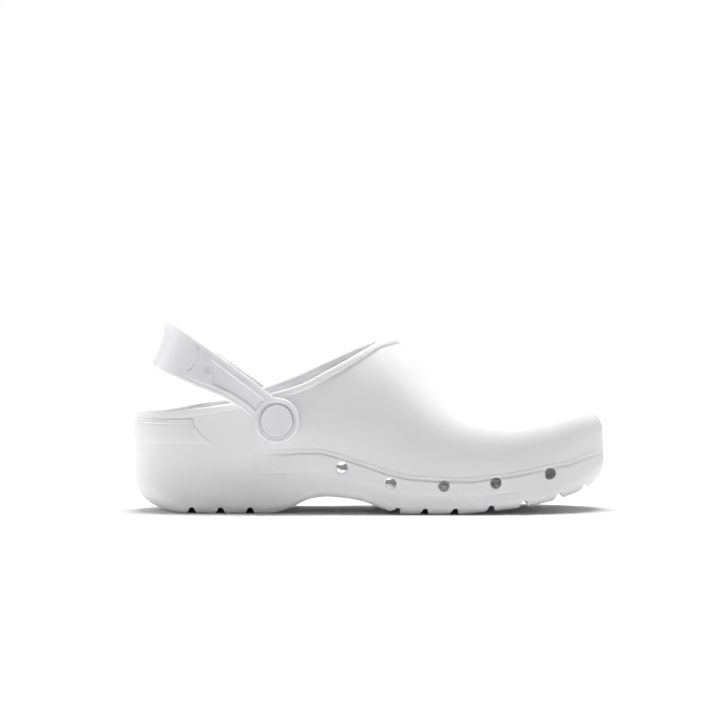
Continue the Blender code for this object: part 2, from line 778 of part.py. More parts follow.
def build_groove(number, along, cutters):
    """Bar across the sole. Under the forefoot its front flank is the steeper one."""
    step = 0.002 * LENGTH
    rise = float(bottom_height(along + step) - bottom_height(along - step)) / (2 * step)
    turn = Matrix.Rotation(-math.atan(rise), 3, "Y")
    place = Vector((along, 0.0, float(bottom_height(along))))
    section = groove_section(GROOVE_SHIFT if along > LENGTH / 2 else 0.0)
    reach = BALL_WIDTH * 0.65
    vertices = [turn @ Vector((x, y, z)) + place for y in (-reach, reach) for x, z in section]
    count = len(section)
    faces = [[k, (k + 1) % count, count + (k + 1) % count, count + k] for k in range(count)]
    faces += [list(range(count)), list(range(2 * count - 1, count - 1, -1))]
    return guide(solid(f"groove_{number + 1}", vertices, faces, None, cutters))


def build_insole(material, parts):
    foot, hub = stations()
    rows = []
    for inset, lift, count in ((INSOLE_EDGE_LOW, GAP, 3), (INSOLE_EDGE_HIGH, GAP + INSOLE_THICKNESS, 3)):
        flat = inward_rows(foot, hub, np.full(len(foot), WALL + inset), count)
        height = floor_height(flat[:, :, :1]) + lift
        rows.append(np.concatenate((flat, height), axis=2))
    grid = np.concatenate((rows[0], rows[1][:, ::-1]), axis=1)
    vertices, (numbers,) = merged((grid,))
    return solid("insole", vertices, grid_faces(numbers, range(grid.shape[1] - 1)), material, parts)


def strap_edges(s):
    """Lower and upper edge of the strap at a distance from the pivot, both ends of it included."""
    share = np.maximum(s, 0) / STRAP_REACH
    circle = np.sqrt(np.maximum(EYE_RADIUS ** 2 - s ** 2, 0))
    low = np.where(s < EYE_END, -circle, table_value(STRAP, 1, share) * EYE_RADIUS)
    high = np.where(s < EYE_END, circle, table_value(STRAP, 2, share) * EYE_RADIUS)
    return low, high


def strap_path(steps_eye, steps_arm):
    """Half of the strap's middle line: distance back from the pivot and half spread, with its normal."""
    spread = pivot_face() + GAP + STRAP_THICKNESS / 2
    angle = np.linspace(0, math.pi / 2, 400)
    arc = np.stack((STRAP_REACH * np.sin(angle) ** (2 / STRAP_BEND_POWER),
                    spread * np.cos(angle).clip(0) ** (2 / STRAP_BEND_POWER)), axis=1)
    arm = even_steps(arc, steps_arm)
    turn = np.linspace(0, math.pi / 2, steps_eye + 1)[:-1]
    eye = np.stack((-EYE_RADIUS * np.cos(turn), np.full(steps_eye, spread)), axis=1)
    return np.vstack((eye, arm))


def build_strap(material, parts, cutters):
    """One loop from eye to eye round the cup. It hangs slightly twisted, its lateral arm the steeper one."""
    half = strap_path(6, 26)
    reach = half[:, 0].max()
    other = half[-2::-1] * np.array((1, -1))
    line = np.vstack((half, other))
    tangent = np.gradient(line, axis=0)
    tangent /= np.linalg.norm(tangent, axis=1, keepdims=True)
    out = np.stack((-tangent[:, 1], tangent[:, 0]), axis=1)
    low, high = strap_edges(line[:, 0])
    flare = np.where(line[:, 0] > 0, table_value(STRAP, 3, np.maximum(line[:, 0], 0) / reach), 0.0)
    lean = np.where(line[:, 0] > 0, table_value(STRAP, 4, np.maximum(line[:, 0], 0) / reach), 0.0)
    recess = (ease((line[:, 0] - RECESS_START) / RECESS_IN) *
              ease((RECESS_END - line[:, 0]) / RECESS_OUT)) * PANEL_RECESS
    width = np.maximum(high - low, 1e-6)
    border = np.minimum(RIM_WIDTH / width, 0.45)
    slope = np.minimum(RECESS_SLOPE / width, 0.05)
    across = np.stack((np.zeros_like(low), border, border + slope, np.full_like(low, 0.5),
                       1 - border - slope, 1 - border, np.ones_like(low)), axis=1)
    sunk = np.array((0, 0, 1, 1, 1, 0, 0))
    height = low[:, None] + (high - low)[:, None] * across
    bow = flare[:, None] * CUP_FLARE * (2 * across - 1) ** 2
    half_thick = STRAP_THICKNESS / 2
    outer = half_thick + bow - recess[:, None] * sunk[None, :]
    inner = -half_thick + bow
    rows = []
    for k in range(across.shape[1]):
        rows.append((height[:, k], outer[:, k]))
    for k in reversed(range(across.shape[1])):
        if k in (0, 3, 6):
            rows.append((height[:, k], inner[:, k]))
    tilt = STRAP_TILT - STRAP_TWIST * line[:, 1] / line[0, 1]
    back, up = np.cos(tilt), np.sin(tilt)
    columns = []
    for h, offset in rows + rows[:1]:
        flat = line + out * offset[:, None]
        flat[:, 0] += h * lean
        x = PIVOT_ALONG - flat[:, 0] * back + h * up
        z = PIVOT_HEIGHT + flat[:, 0] * up + h * back
        columns.append(np.stack((x, flat[:, 1], z), axis=1))
    grid = np.stack(columns, axis=1)
    vertices, (numbers,) = merged((grid,))
    faces = []
    for k in range(len(numbers) - 1):
        for row in range(numbers.shape[1] - 1):
            corners = [numbers[k, row], numbers[k + 1, row], numbers[k + 1, row + 1], numbers[k, row + 1]]
            loop = [c for n, c in enumerate(corners) if c != corners[n - 1]]
            if len(set(loop)) > 2:
                faces.append(loop)
    strap = solid("heel_strap", vertices, faces, material, parts)
    for side in (LATERAL, MEDIAL):
        name = side_name(side)
        face = pivot_face() + GAP + STRAP_THICKNESS
        before, past = pivot_face() - CUT_PAST, face + CUT_PAST
        seat = disc(f"button_seat_{name}", BUTTON_RADIUS + GAP, face - BUTTON_SEAT, past, side, cutters)
        hole = disc(f"strap_hole_{name}", SHAFT_RADIUS + GAP, before, past, side, cutters, 24)
        combine(strap, seat, "DIFFERENCE")
        combine(strap, hole, "DIFFERENCE")
    return strap


def turned(name, profile, side, base, material, parts, steps=32):
    """Solid of revolution round the pivot's axis; the profile is radius and distance from the base."""
    mesh = bpy.data.meshes.new(name)
    points = [(radius, 0, along) for radius, along in profile]
    mesh.from_pydata(points, [(k, k + 1) for k in range(len(points) - 1)], [])
    mesh.materials.append(material)
    item = bpy.data.objects.new(name, mesh)
    parts.objects.link(item)
    item.location = (PIVOT_ALONG - LENGTH / 2, side * base, PIVOT_HEIGHT)
    item.rotation_euler = (-side * math.pi / 2, 0, 0)
    screw = item.modifiers.new("turn", "SCREW")
    screw.steps = steps
    screw.render_steps = steps
    screw.use_merge_vertices = True
    screw.merge_threshold = 0.00001
    screw.use_smooth_shade = True
    return item


def build_rivet(side, cap_material, keeper_material, parts):
    """Button with its shaft from outside, and the keeper that takes the shaft's end inside the wall."""
    name = side_name(side)
    base = pivot_face() + STRAP_THICKNESS - BUTTON_SEAT + 2 * GAP
    inner_wall = pivot_back() - GAP
    shaft_end = base - (inner_wall - KEEPER_BORE_DEPTH)
    round_edge = RIVET_ROUND
    turned(f"rivet_button_{name}", ((0, BUTTON_HEIGHT), (BUTTON_RADIUS - 2 * round_edge, BUTTON_HEIGHT),
                                    (BUTTON_RADIUS - round_edge, BUTTON_HEIGHT - 0.3 * round_edge),
                                    (BUTTON_RADIUS, BUTTON_HEIGHT - 1.3 * round_edge), (BUTTON_RADIUS, 0),
                                    (SHAFT_RADIUS, 0), (SHAFT_RADIUS, -shaft_end), (0, -shaft_end)),
           side, base, cap_material, parts)
    bore = SHAFT_RADIUS + GAP
    deep = KEEPER_BORE_DEPTH + GAP
    turned(f"rivet_keeper_{name}", ((0, -deep), (bore, -deep), (bore, 0), (KEEPER_RADIUS, 0),
                                    (KEEPER_RADIUS, -KEEPER_HEIGHT + round_edge),
                                    (KEEPER_RADIUS - round_edge, -KEEPER_HEIGHT), (0, -KEEPER_HEIGHT)),
           side, inner_wall, keeper_material, parts)


def make_material(name, colour, roughness):
    material = bpy.data.materials.new(name)
    material.use_nodes = True
    shader = material.node_tree.nodes["Principled BSDF"]
    shader.inputs["Base Color"].default_value = (*colour, 1)
    shader.inputs["Roughness"].default_value = roughness
    shader.inputs["Metallic"].default_value = 0.0
    return material


def main():
    for item in list(bpy.data.objects):
        bpy.data.objects.remove(item)
    parts = bpy.data.collections.new("work_clog")
    cutters = bpy.data.collections.new("cutters")
    for group in (parts, cutters):
        bpy.context.scene.collection.children.link(group)
    white = (0.86, 0.86, 0.87)
    build_shell(make_material("shell_foam", white, 0.45), parts, cutters)
    build_insole(make_material("insole_foam", (0.80, 0.80, 0.81), 0.7), parts)
    build_strap(make_material("strap_foam", white, 0.42), parts, cutters)
    button = make_material("button_plastic", (0.84, 0.84, 0.85), 0.38)
    keeper = make_material("keeper_plastic", (0.80, 0.80, 0.82), 0.45)
    for side in (LATERAL, MEDIAL):
        build_rivet(side, button, keeper, parts)


main()
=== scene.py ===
"""White moulded work clog: the detailed outside of the shell, strap, rivets and insole, with its studio.

The surfaces follow the named sizes and tables of the solids, drawn with far more lines. Grooves and vents sit
up to 1.4 mm closer to their places in the photo than those of the solids, and the grooves are 0.9 mm deeper.
"""
import math

import bmesh
import bpy
import numpy as np
from mathutils import Matrix, Vector


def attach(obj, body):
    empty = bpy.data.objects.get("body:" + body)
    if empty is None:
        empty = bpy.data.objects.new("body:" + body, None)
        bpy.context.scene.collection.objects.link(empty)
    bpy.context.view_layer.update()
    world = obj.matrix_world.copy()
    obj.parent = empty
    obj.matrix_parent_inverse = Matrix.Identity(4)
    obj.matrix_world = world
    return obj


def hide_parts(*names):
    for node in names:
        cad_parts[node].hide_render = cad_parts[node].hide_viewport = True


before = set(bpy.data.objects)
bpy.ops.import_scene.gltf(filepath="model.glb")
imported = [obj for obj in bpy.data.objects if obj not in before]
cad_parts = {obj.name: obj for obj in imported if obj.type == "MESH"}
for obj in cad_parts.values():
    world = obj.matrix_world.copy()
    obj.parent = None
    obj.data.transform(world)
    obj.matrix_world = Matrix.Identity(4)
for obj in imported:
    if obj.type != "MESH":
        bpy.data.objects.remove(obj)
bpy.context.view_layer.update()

# Driving sizes, in metres
LENGTH = 0.276
BALL_WIDTH = 0.104
INSTEP = 0.104
COLLAR_HEEL = 0.0576
WALL = 0.0032
HEEL_FLOOR = 0.024
ARCH_RISE = 0.0099
TOE_SPRING = 0.0165
BAND_TOP = 0.0358
BAND_DEPTH = 0.0014
INNER_FILLET = 0.006
GAP = 0.0003

# Side band: least height of its foot and of itself, and height of the wall before the vault. Its lower step
# fades out between two shares of the length. Below it and at its ridge it stands out by these shares.
BAND_FOOT = 0.0008
BAND_LEAST = 0.0030
VAULT_START = 0.0040
MERGE_FROM = 0.74
MERGE_TO = 0.82
BAND_BELOW = 0.35
BAND_RIDGE = 0.90

# Hubs: the lines of the heel and toe caps run to these two points of the spine
HEEL_HUB = 0.035
TOE_HUB = 0.236
HEEL_CAP = 0.037
TOE_CAP = 0.058
HEEL_CAP_POWER = 2.2
TOE_CAP_POWER = 2.35
TOE_BOX_POWER = 4.4
FRONT_STEP = 0.0008

# Lip round the collar
LIP_HEIGHT = 0.0044
LIP_PROUD = 0.0010
LIP_PROUD_HEEL = 0.0004
LIP_ROUND = 0.0013

# Rounded edge of the sole: how far it runs in and rises, at the heel's back, the sides and the toe
EDGE_HEEL_RUN = 0.024
EDGE_HEEL_RISE = 0.020
EDGE_SIDE_RUN = 0.005
EDGE_SIDE_RISE = 0.005
EDGE_TOE_RUN = 0.012
EDGE_TOE_RISE = 0.012

# Tread and vents
GROOVE_WIDTH = 0.0056
GROOVE_ROOT = 0.0028
GROOVE_DEPTH = 0.0036
GROOVE_ROUND = 0.0008
GROOVE_SHIFT = 0.0008
GROOVE_BAR = 0.009
VENT_RADIUS = 0.00325
VENT_REACH = 0.016

# Raised panel round the heel
PANEL_PROUD = 0.0007
PANEL_ROOT = 0.0015
PANEL_TOP = 0.0549
PANEL_BOTTOM = 0.0404
PANEL_END_TOP = 0.0358
PANEL_END_BOTTOM = 0.0505
PANEL_END_CURVE = 0.5

# Insole
INSOLE_THICKNESS = 0.0030
INSOLE_EDGE_LOW = 0.0050
INSOLE_EDGE_HIGH = 0.0014

# Heel strap and its two rivets
PIVOT_ALONG = 0.0837
PIVOT_HEIGHT = 0.0543
BOSS_RADIUS = 0.0112
BOSS_PROUD = 0.0003
KEEPER_PAD = 0.0016
CUT_PAST = 0.004
STRAP_TILT = math.radians(32.2)
STRAP_TWIST = math.radians(1.2)
STRAP_REACH = 0.0795
STRAP_THICKNESS = 0.0036
STRAP_BEND_POWER = 2.6
EYE_RADIUS = 0.0133
EYE_END = 0.0084
CUP_FLARE = 0.0020
PANEL_RECESS = 0.0009
RIM_WIDTH = 0.0048
RECESS_START = 0.0130
BUTTON_RADIUS = 0.00935
BUTTON_HEIGHT = 0.0024
BUTTON_SEAT = 0.0015
SHAFT_RADIUS = 0.0040
KEEPER_RADIUS = 0.0085
KEEPER_HEIGHT = 0.0030
KEEPER_BORE_DEPTH = 0.0018

# Share of the length, then shares of half the ball's width: lateral edge, medial edge, spine
PLAN = (
    (0.00, -0.715, 0.725, 0.00),
    (0.13, -0.728, 0.738, 0.00),
    (0.25, -0.755, 0.745, 0.00),
    (0.36, -0.805, 0.748, 0.02),
    (0.47, -0.890, 0.790, 0.05),
    (0.57, -0.965, 0.875, 0.07),
    (0.65, -1.000, 0.955, 0.08),
    (0.73, -0.992, 1.000, 0.09),
    (0.82, -0.930, 0.995, 0.11),
    (0.88, -0.850, 0.970, 0.13),
    (0.95, -0.740, 0.930, 0.14),
    (1.00, -0.640, 0.890, 0.14),
)

# Share of the length, then the ridge line of the upper as a share of INSTEP and the power of its section.
# Behind the collar's front the ridge is only the height that the walls lean towards.
CROWN = (
    (0.000, 1.350, 2.00),
    (0.200, 1.350, 2.00),
    (0.300, 1.300, 2.00),
    (0.420, 1.160, 2.00),
    (0.500, 1.070, 2.05),
    (0.530, 1.034, 2.10),
    (0.545, 1.000, 2.10),
    (0.580, 0.898, 2.20),
    (0.614, 0.799, 2.25),
    (0.648, 0.718, 2.35),
    (0.685, 0.651, 2.45),
    (0.745, 0.598, 2.55),
    (0.805, 0.576, 2.65),
    (0.855, 0.579, 2.70),
    (1.000, 0.579, 2.70),
)

# Share of the length, then the rise of the collar from the heel as a share of INSTEP - COLLAR_HEEL,
# on the lateral and on the medial side
COLLAR = (
    (0.000, 0.000, 0.000),
    (0.046, 0.017, 0.017),
    (0.115, 0.060, 0.060),
    (0.177, 0.110, 0.115),
    (0.210, 0.142, 0.155),
    (0.297, 0.275, 0.345),
    (0.353, 0.375, 0.478),
    (0.417, 0.570, 0.657),
    (0.480, 0.778, 0.832),
    (0.522, 0.915, 0.930),
    (0.545, 0.955, 0.957),
    (0.560, 0.965, 0.965),
    (0.600, 0.980, 0.980),
)

# Share of the length, then the band's lower line and its ridge as shares of BAND_TOP, and how far it shows
BAND = (
    (0.000, 0.670, 0.970, 0.00),
    (0.270, 0.670, 0.960, 0.00),
    (0.300, 0.673, 0.960, 0.35),
    (0.360, 0.685, 0.970, 1.00),
    (0.391, 0.685, 0.970, 1.00),
    (0.434, 0.590, 0.895, 1.00),
    (0.488, 0.510, 0.763, 1.00),
    (0.545, 0.403, 0.618, 1.00),
    (0.603, 0.311, 0.543, 1.00),
    (0.700, 0.308, 0.515, 1.00),
    (0.745, 0.328, 0.551, 1.00),
    (0.786, 0.370, 0.585, 1.00),
    (0.840, 0.440, 0.660, 0.90),
    (0.880, 0.510, 0.725, 0.75),
    (0.918, 0.590, 0.770, 0.60),
    (0.950, 0.690, 0.850, 0.45),
    (1.000, 0.800, 0.940, 0.30),
)

# Share of the length, then the arch as a share of ARCH_RISE and the toe as a share of TOE_SPRING
BOTTOM = (
    (0.000, 0.00, 0.00),
    (0.287, 0.00, 0.00),
    (0.309, 0.11, 0.00),
    (0.339, 0.43, 0.00),
    (0.377, 0.90, 0.00),
    (0.413, 1.00, 0.00),
    (0.446, 0.92, 0.00),
    (0.478, 0.78, 0.00),
    (0.521, 0.36, 0.00),
    (0.546, 0.12, 0.00),
    (0.565, 0.00, 0.00),
    (0.680, 0.00, 0.00),
    (0.750, 0.00, 0.10),
    (0.797, 0.00, 0.19),
    (0.846, 0.00, 0.31),
    (0.890, 0.00, 0.46),
    (0.944, 0.00, 0.68),
    (1.000, 0.00, 1.00),
)

# Share of the length, then the height of the inner floor as a share of HEEL_FLOOR
FLOOR = (
    (0.00, 1.00),
    (0.29, 0.99),
    (0.36, 0.94),
    (0.44, 0.80),
    (0.50, 0.59),
    (0.55, 0.43),
    (0.62, 0.39),
    (0.76, 0.39),
    (0.84, 0.47),
    (0.89, 0.59),
    (0.94, 0.76),
    (1.00, 0.95),
)

# Share of the strap's reach, then its lower and upper edge as shares of EYE_RADIUS, the cup's flare
# as a share of CUP_FLARE and its lean, which is how far the upper edge runs on beyond the lower one
STRAP = (
    (0.100, -0.775, 0.775, 0.0, 0.00),
    (0.170, -0.500, 0.800, 0.0, 0.00),
    (0.275, -0.410, 0.870, 0.0, 0.00),
    (0.380, -0.430, 0.900, 0.0, 0.00),
    (0.500, -0.540, 0.945, 0.0, 0.02),
    (0.650, -0.720, 0.990, 0.1, 0.08),
    (0.800, -0.860, 1.030, 0.3, 0.18),
    (0.930, -0.985, 1.060, 0.8, 0.26),
    (1.000, -1.000, 1.050, 1.0, 0.28),
)

# Centres of the tread's grooves as shares of the length, under the heel and under the forefoot
HEEL_GROOVES = (0.124, 0.185, 0.247)
FORE_GROOVES = (0.552, 0.611, 0.674, 0.751, 0.821, 0.897, 0.957)

# Vents: share of the length, then height as a share of BAND_TOP
VENTS = ((0.440, 0.762), (0.542, 0.505), (0.653, 0.470), (0.762, 0.514), (0.878, 0.654))

# How many times finer than the solids the lines of the shell and of the insole are drawn
SHELL_FINE = 5
INSOLE_FINE = 4

# Details that only the picture's surface has: lip, vents, heel panel
LIP_QUIRK = 0.00042
LIP_BEAD = 0.0011
VENT_MOUTH = 0.0004
PANEL_RIB = 0.0029

# Sipes: wavy cuts in the middle of each lug up to a longest one, and beside the two lugs at the arch
SIPE_DEPTH = 0.0009
SIPE_WIDTH = 0.0010
SIPE_MARGIN = 0.012
SIPE_WAVE = 0.0011
SIPE_WAVE_LENGTH = 0.0105
LUG_LONGEST = 0.035
SIPE_PAST_HEEL = 0.0078
SIPE_BEFORE_BALL = 0.0070

# Strap's outer face: rims, recess, crease and dimple, their places as distances back from the pivot and up
STRAP_ROUND = 0.0011
CUP_CREASE = ((0.0593, 0.0118), (0.0578, 0.0095), (0.0570, 0.0056), (0.0571, 0.0018),
              (0.0577, -0.0016), (0.0587, -0.0031))
STRAP_DIMPLE = ((0.0480, 0.0021), (0.0498, 0.0051))
CREASE_WIDTH = 0.00060
CREASE_DEPTH = 0.0009
DIMPLE_RADIUS = 0.0009
DIMPLE_DEPTH = 0.0008
HOLLOW_PLACE = (0.0497, 0.0034)
HOLLOW_RADIUS = 0.0019
HOLLOW_DEPTH = 0.00035
OUTER_RIM = 0.0032
RIM_STEP = 0.00035
RIM_END = 0.066
RIM_FADE = 0.012
RECESS_BACK = 0.0451
RECESS_LEAN = 0.66
EYE_RIM = 0.0018
EYE_STEP = 0.0005

# Nubs of the footbed, in staggered rows
NUB_SPACING = 0.0052
NUB_ROWS = 0.866
NUB_RADIUS = 0.0013
NUB_HEIGHT = 0.0005
NUB_FIRST = 0.016
NUB_LAST = 0.018
NUB_MARGIN = 0.0075

# Camera: what it looks at, how far it stands, how much it looks down and is turned towards the heel
CAMERA_AIM = (-0.0056, 0.0, 0.0881)
CAMERA_DISTANCE = 2.5
CAMERA_LENS = 212.4
CAMERA_RISE = math.radians(1.7)
CAMERA_TURN = math.radians(0.7)

LATERAL = -1
MEDIAL = 1


def table_value(table, column, along):
    """Smooth curve through one column of a table, read at a place along the clog."""
    shares = np.array([row[0] for row in table])
    values = np.array([row[column] for row in table])
    step = np.diff(shares)
    slope = np.diff(values) / step
    product = slope[:-1] * slope[1:]
    total = np.where(product > 0, slope[:-1] + slope[1:], 1.0)
    tangent = np.concatenate(([slope[0]], np.where(product > 0, 2 * product / total, 0.0), [slope[-1]]))
    at = np.clip(along, shares[0], shares[-1])
    cell = np.clip(np.searchsorted(shares, at, side="right") - 1, 0, len(step) - 1)
    t = (at - shares[cell]) / step[cell]
    start, end = values[cell], values[cell + 1]
    pull = step[cell] * ((1 - t) * tangent[cell] - t * tangent[cell + 1])
    return start + (end - start) * t * t * (3 - 2 * t) + pull * t * (1 - t)


def along_clog(table, column, x):
    return table_value(table, column, np.asarray(x, dtype=float) / LENGTH)


def ease(value):
    value = np.clip(value, 0.0, 1.0)
    return value * value * (3 - 2 * value)


def half_base():
    """Half the ball's width at the upper, inside the band."""
    return BALL_WIDTH / 2 - BAND_DEPTH


def spine_y(x):
    return along_clog(PLAN, 3, x) * half_base()


def crown_height(x):
    return along_clog(CROWN, 1, x) * INSTEP


def rim_height(x, medial=False):
    """Middle of the collar's lip, which runs higher on the medial side."""
    rise = np.where(medial, along_clog(COLLAR, 2, x), along_clog(COLLAR, 1, x))
    return COLLAR_HEEL - LIP_HEIGHT / 2 + rise * (INSTEP - COLLAR_HEEL)


def bottom_height(x):
    return along_clog(BOTTOM, 1, x) * ARCH_RISE + along_clog(BOTTOM, 2, x) * TOE_SPRING


def floor_height(x):
    return along_clog(FLOOR, 1, x) * HEEL_FLOOR


def collar_front():
    """Where the rim meets the ridge of the instep."""
    low, high = LENGTH * 0.45, LENGTH * 0.60
    for _ in range(40):
        middle = (low + high) / 2
        if crown_height(middle) > rim_height(middle):
            low = middle
        else:
            high = middle
    return (low + high) / 2


def outline(x, side, cap=1.0):
    """Edge of the upper seen from above. The cap's factor closes it at heel and toe."""
    lateral = along_clog(PLAN, 1, x) * half_base()
    medial = along_clog(PLAN, 2, x) * half_base()
    return (lateral + medial) / 2 + side * cap * (medial - lateral) / 2


def cap_factor(x):
    heel = np.clip((HEEL_CAP - x) / HEEL_CAP, 0, 1) ** HEEL_CAP_POWER
    toe = np.clip((x - LENGTH + TOE_CAP) / TOE_CAP, 0, 1) ** TOE_CAP_POWER
    return (1 - heel) ** (1 / HEEL_CAP_POWER) * (1 - toe) ** (1 / TOE_CAP_POWER)


def even_steps(points, count):
    """Points at even distances along a polyline, both ends kept."""
    reach = np.concatenate(([0.0], np.cumsum(np.linalg.norm(np.diff(points, axis=0), axis=1))))
    wanted = np.linspace(0, reach[-1], count + 1)
    return np.stack([np.interp(wanted, reach, points[:, k]) for k in range(points.shape[1])], axis=1)


def toe_outline(side, count):
    """From the tip of the toe back to the toe hub."""
    angle = np.linspace(math.pi / 2, 0, 400)
    x = LENGTH - TOE_CAP + TOE_CAP * np.sin(angle) ** (2 / TOE_CAP_POWER)
    y = outline(x, side, np.cos(angle).clip(0) ** (2 / TOE_CAP_POWER))
    keep = x > TOE_HUB
    line = np.vstack((np.stack((x[keep], y[keep]), axis=1),
                      [TOE_HUB, outline(TOE_HUB, side, cap_factor(TOE_HUB))]))
    return even_steps(line, count)


def heel_outline(side, count):
    """From the heel hub to the middle of the heel's back."""
    angle = np.linspace(0, math.pi / 2, 400)
    x = HEEL_CAP - HEEL_CAP * np.sin(angle) ** (2 / HEEL_CAP_POWER)
    y = outline(x, side, np.cos(angle).clip(0) ** (2 / HEEL_CAP_POWER))
    keep = x < HEEL_HUB
    line = np.vstack(([HEEL_HUB, outline(HEEL_HUB, side, cap_factor(HEEL_HUB))],
                      np.stack((x[keep], y[keep]), axis=1)))
    return even_steps(line, count)


def side_places(fine):
    """Places along the side, from the toe hub to the heel hub, closer where the collar's front turns."""
    front = collar_front()
    ahead = np.linspace(TOE_HUB, front, 9 * fine + 1)[:-1]
    turn = front - FRONT_STEP * (np.arange(7 * fine + 1) / fine) ** 2
    behind = np.linspace(turn[-1], HEEL_HUB, 8 * fine + 1)[1:]
    return np.concatenate((ahead, turn, behind))


def half_stations(side, fine):
    """Outline points and the spine points that their lines run to, from the toe's tip to the heel's back."""
    toe = toe_outline(side, 7 * fine)[:-1]
    heel = heel_outline(side, 6 * fine)[1:]
    places = side_places(fine)
    edge = np.stack((places, outline(places, side, cap_factor(places))), axis=1)
    hubs = np.concatenate((np.full(len(toe), TOE_HUB), places, np.full(len(heel), HEEL_HUB)))
    return np.vstack((toe, edge, heel)), np.stack((hubs, spine_y(hubs)), axis=1)


def stations(fine):
    """Closed loop of stations: down the medial side to the heel and back up the lateral side."""
    medial, medial_hub = half_stations(MEDIAL, fine)
    lateral, lateral_hub = half_stations(LATERAL, fine)
    foot = np.vstack((medial, lateral[-2:0:-1]))
    hub = np.vstack((medial_hub, lateral_hub[-2:0:-1]))
    return foot, hub


def outward(foot):
    """Unit normals of the outline, in plan."""
    tangent = np.roll(foot, -1, axis=0) - np.roll(foot, 1, axis=0)
    tangent /= np.linalg.norm(tangent, axis=1, keepdims=True)
    return np.stack((tangent[:, 1], -tangent[:, 0]), axis=1)


def cap_share(x):
    """0 along the sides, growing to 1 at the heel's back and at the toe's tip."""
    heel = ease((HEEL_HUB - x) / HEEL_HUB)
    toe = ease((x - TOE_HUB) / (LENGTH - TOE_HUB))
    return heel, toe


def sole_edge(x):
    """Run and rise of the rounded lower edge."""
    heel, toe = cap_share(x)
    side = 1 - heel - toe
    run = EDGE_HEEL_RUN * heel + EDGE_TOE_RUN * toe + EDGE_SIDE_RUN * side
    return run, EDGE_HEEL_RISE * heel + EDGE_TOE_RISE * toe + EDGE_SIDE_RISE * side


def wall_levels(x):
    """Heights on the upright wall: top of the sole's edge, band's lower line, ridge, start of the vault."""
    edge = bottom_height(x) + sole_edge(x)[1]
    low = np.maximum(along_clog(BAND, 1, x) * BAND_TOP, edge + BAND_FOOT)
    ridge = np.maximum(along_clog(BAND, 2, x) * BAND_TOP, low + BAND_LEAST)
    return edge, low, ridge, ridge + VAULT_START


def vault_rows(foot, hub, count):
    """Lines of the upper from the wall to the rim or the spine, as points of shape (station, row, 3)."""
    x = foot[:, 0]
    start = wall_levels(x)[3]
    top = crown_height(hub[:, 0])
    toe = cap_share(x)[1]
    power = along_clog(CROWN, 2, x) * (1 - toe) + TOE_BOX_POWER * toe
    open_line = x <= collar_front() + 1e-7
    rim = rim_height(x, foot[:, 1] > spine_y(x))
    cut = np.clip((rim - start) / (top - start), 0, 1)
    last = np.where(open_line, np.arcsin(np.minimum(cut ** (power / 2), 1.0)), math.pi / 2)
    turn = last[:, None] * np.linspace(0, 1, 161)[None, :]
    run = 1 - np.cos(turn).clip(0) ** (2 / power[:, None])
    rise = np.sin(turn) ** (2 / power[:, None])
    flat = foot[:, None, :] + (hub - foot)[:, None, :] * run[:, :, None]
    height = start[:, None] + (top - start)[:, None] * rise
    lines = np.concatenate((flat, height[:, :, None]), axis=2)
    return np.stack([even_steps(line, count) for line in lines]), open_line


def surface_normals(grid):
    """Outward unit normals of a looped grid of points."""
    around = np.roll(grid, -1, axis=0) - np.roll(grid, 1, axis=0)
    up = np.gradient(grid, axis=1)
    normal = np.cross(around, up)
    return normal / np.maximum(np.linalg.norm(normal, axis=2, keepdims=True), 1e-12)


def pair_spine(points, foot, open_line):
    """Closed lines of both sides end on one shared point of the spine."""
    count = len(points)
    for k in range(1, count):
        other = count - k
        if k < other and not open_line[k]:
            middle = (points[k] + points[other]) / 2
            points[k] = points[other] = middle
    front = np.isclose(foot[:, 0], collar_front(), atol=1e-7)
    cap = foot[:, 0] > TOE_HUB + 1e-7
    points[front] = points[front].mean(axis=0)
    hub = np.isclose(foot[:, 0], TOE_HUB, atol=1e-7)
    points[cap | hub] = points[cap | hub].mean(axis=0)
    return points


def base_rows(foot, heights):
    """Upright rows over the outline."""
    flat = np.repeat(foot[:, None, :], heights.shape[1], axis=1)
    return np.concatenate((flat, heights[:, :, None]), axis=2)


def inward_rows(foot, hub, inset, count):
    """Points from the spine out to a given inset from the outline, in plan."""
    reach = np.linalg.norm(hub - foot, axis=1)
    share = 1 - (1 - inset / reach)[:, None] * (1 - np.linspace(1, 0, count)[None, :])
    return foot[:, None, :] + (hub - foot)[:, None, :] * share[:, :, None]


def rounded_rows(foot, hub, start, run, rise, count):
    """Quarter ellipse from inset start + run up to inset start: plan points and heights."""
    reach = np.linalg.norm(hub - foot, axis=1)
    angle = np.linspace(0, math.pi / 2, count + 1)[1:]
    inset = start + run[:, None] * (1 - np.sin(angle))[None, :]
    share = inset / reach[:, None]
    flat = foot[:, None, :] + (hub - foot)[:, None, :] * share[:, :, None]
    return flat, rise[:, None] * (1 - np.cos(angle))[None, :]


def grid_faces(points, rows, loop=True):
    """Quads of a grid of vertex numbers, closed round if it is a loop, without corners that are the same."""
    faces = []
    count = points.shape[0]
    for k in range(count if loop else count - 1):
        after = (k + 1) % count
        for row in rows:
            corners = [points[k, row], points[after, row], points[after, row + 1], points[k, row + 1]]
            face = [c for n, c in enumerate(corners) if c != corners[n - 1]]
            if len(set(face)) > 2:
                faces.append(face)
    return faces


def merged(grids):
    """Shared vertex list of several grids, and each grid as vertex numbers."""
    seen, vertices, numbered = {}, [], []
    for grid in grids:
        numbers = np.zeros(grid.shape[:2], dtype=int)
        for k in range(grid.shape[0]):
            for row in range(grid.shape[1]):
                key = tuple(np.round(grid[k, row] * 1e7).astype(int))
                if key not in seen:
                    seen[key] = len(vertices)
                    vertices.append(grid[k, row])
                numbers[k, row] = seen[key]
        numbered.append(numbers)
    return vertices, numbered


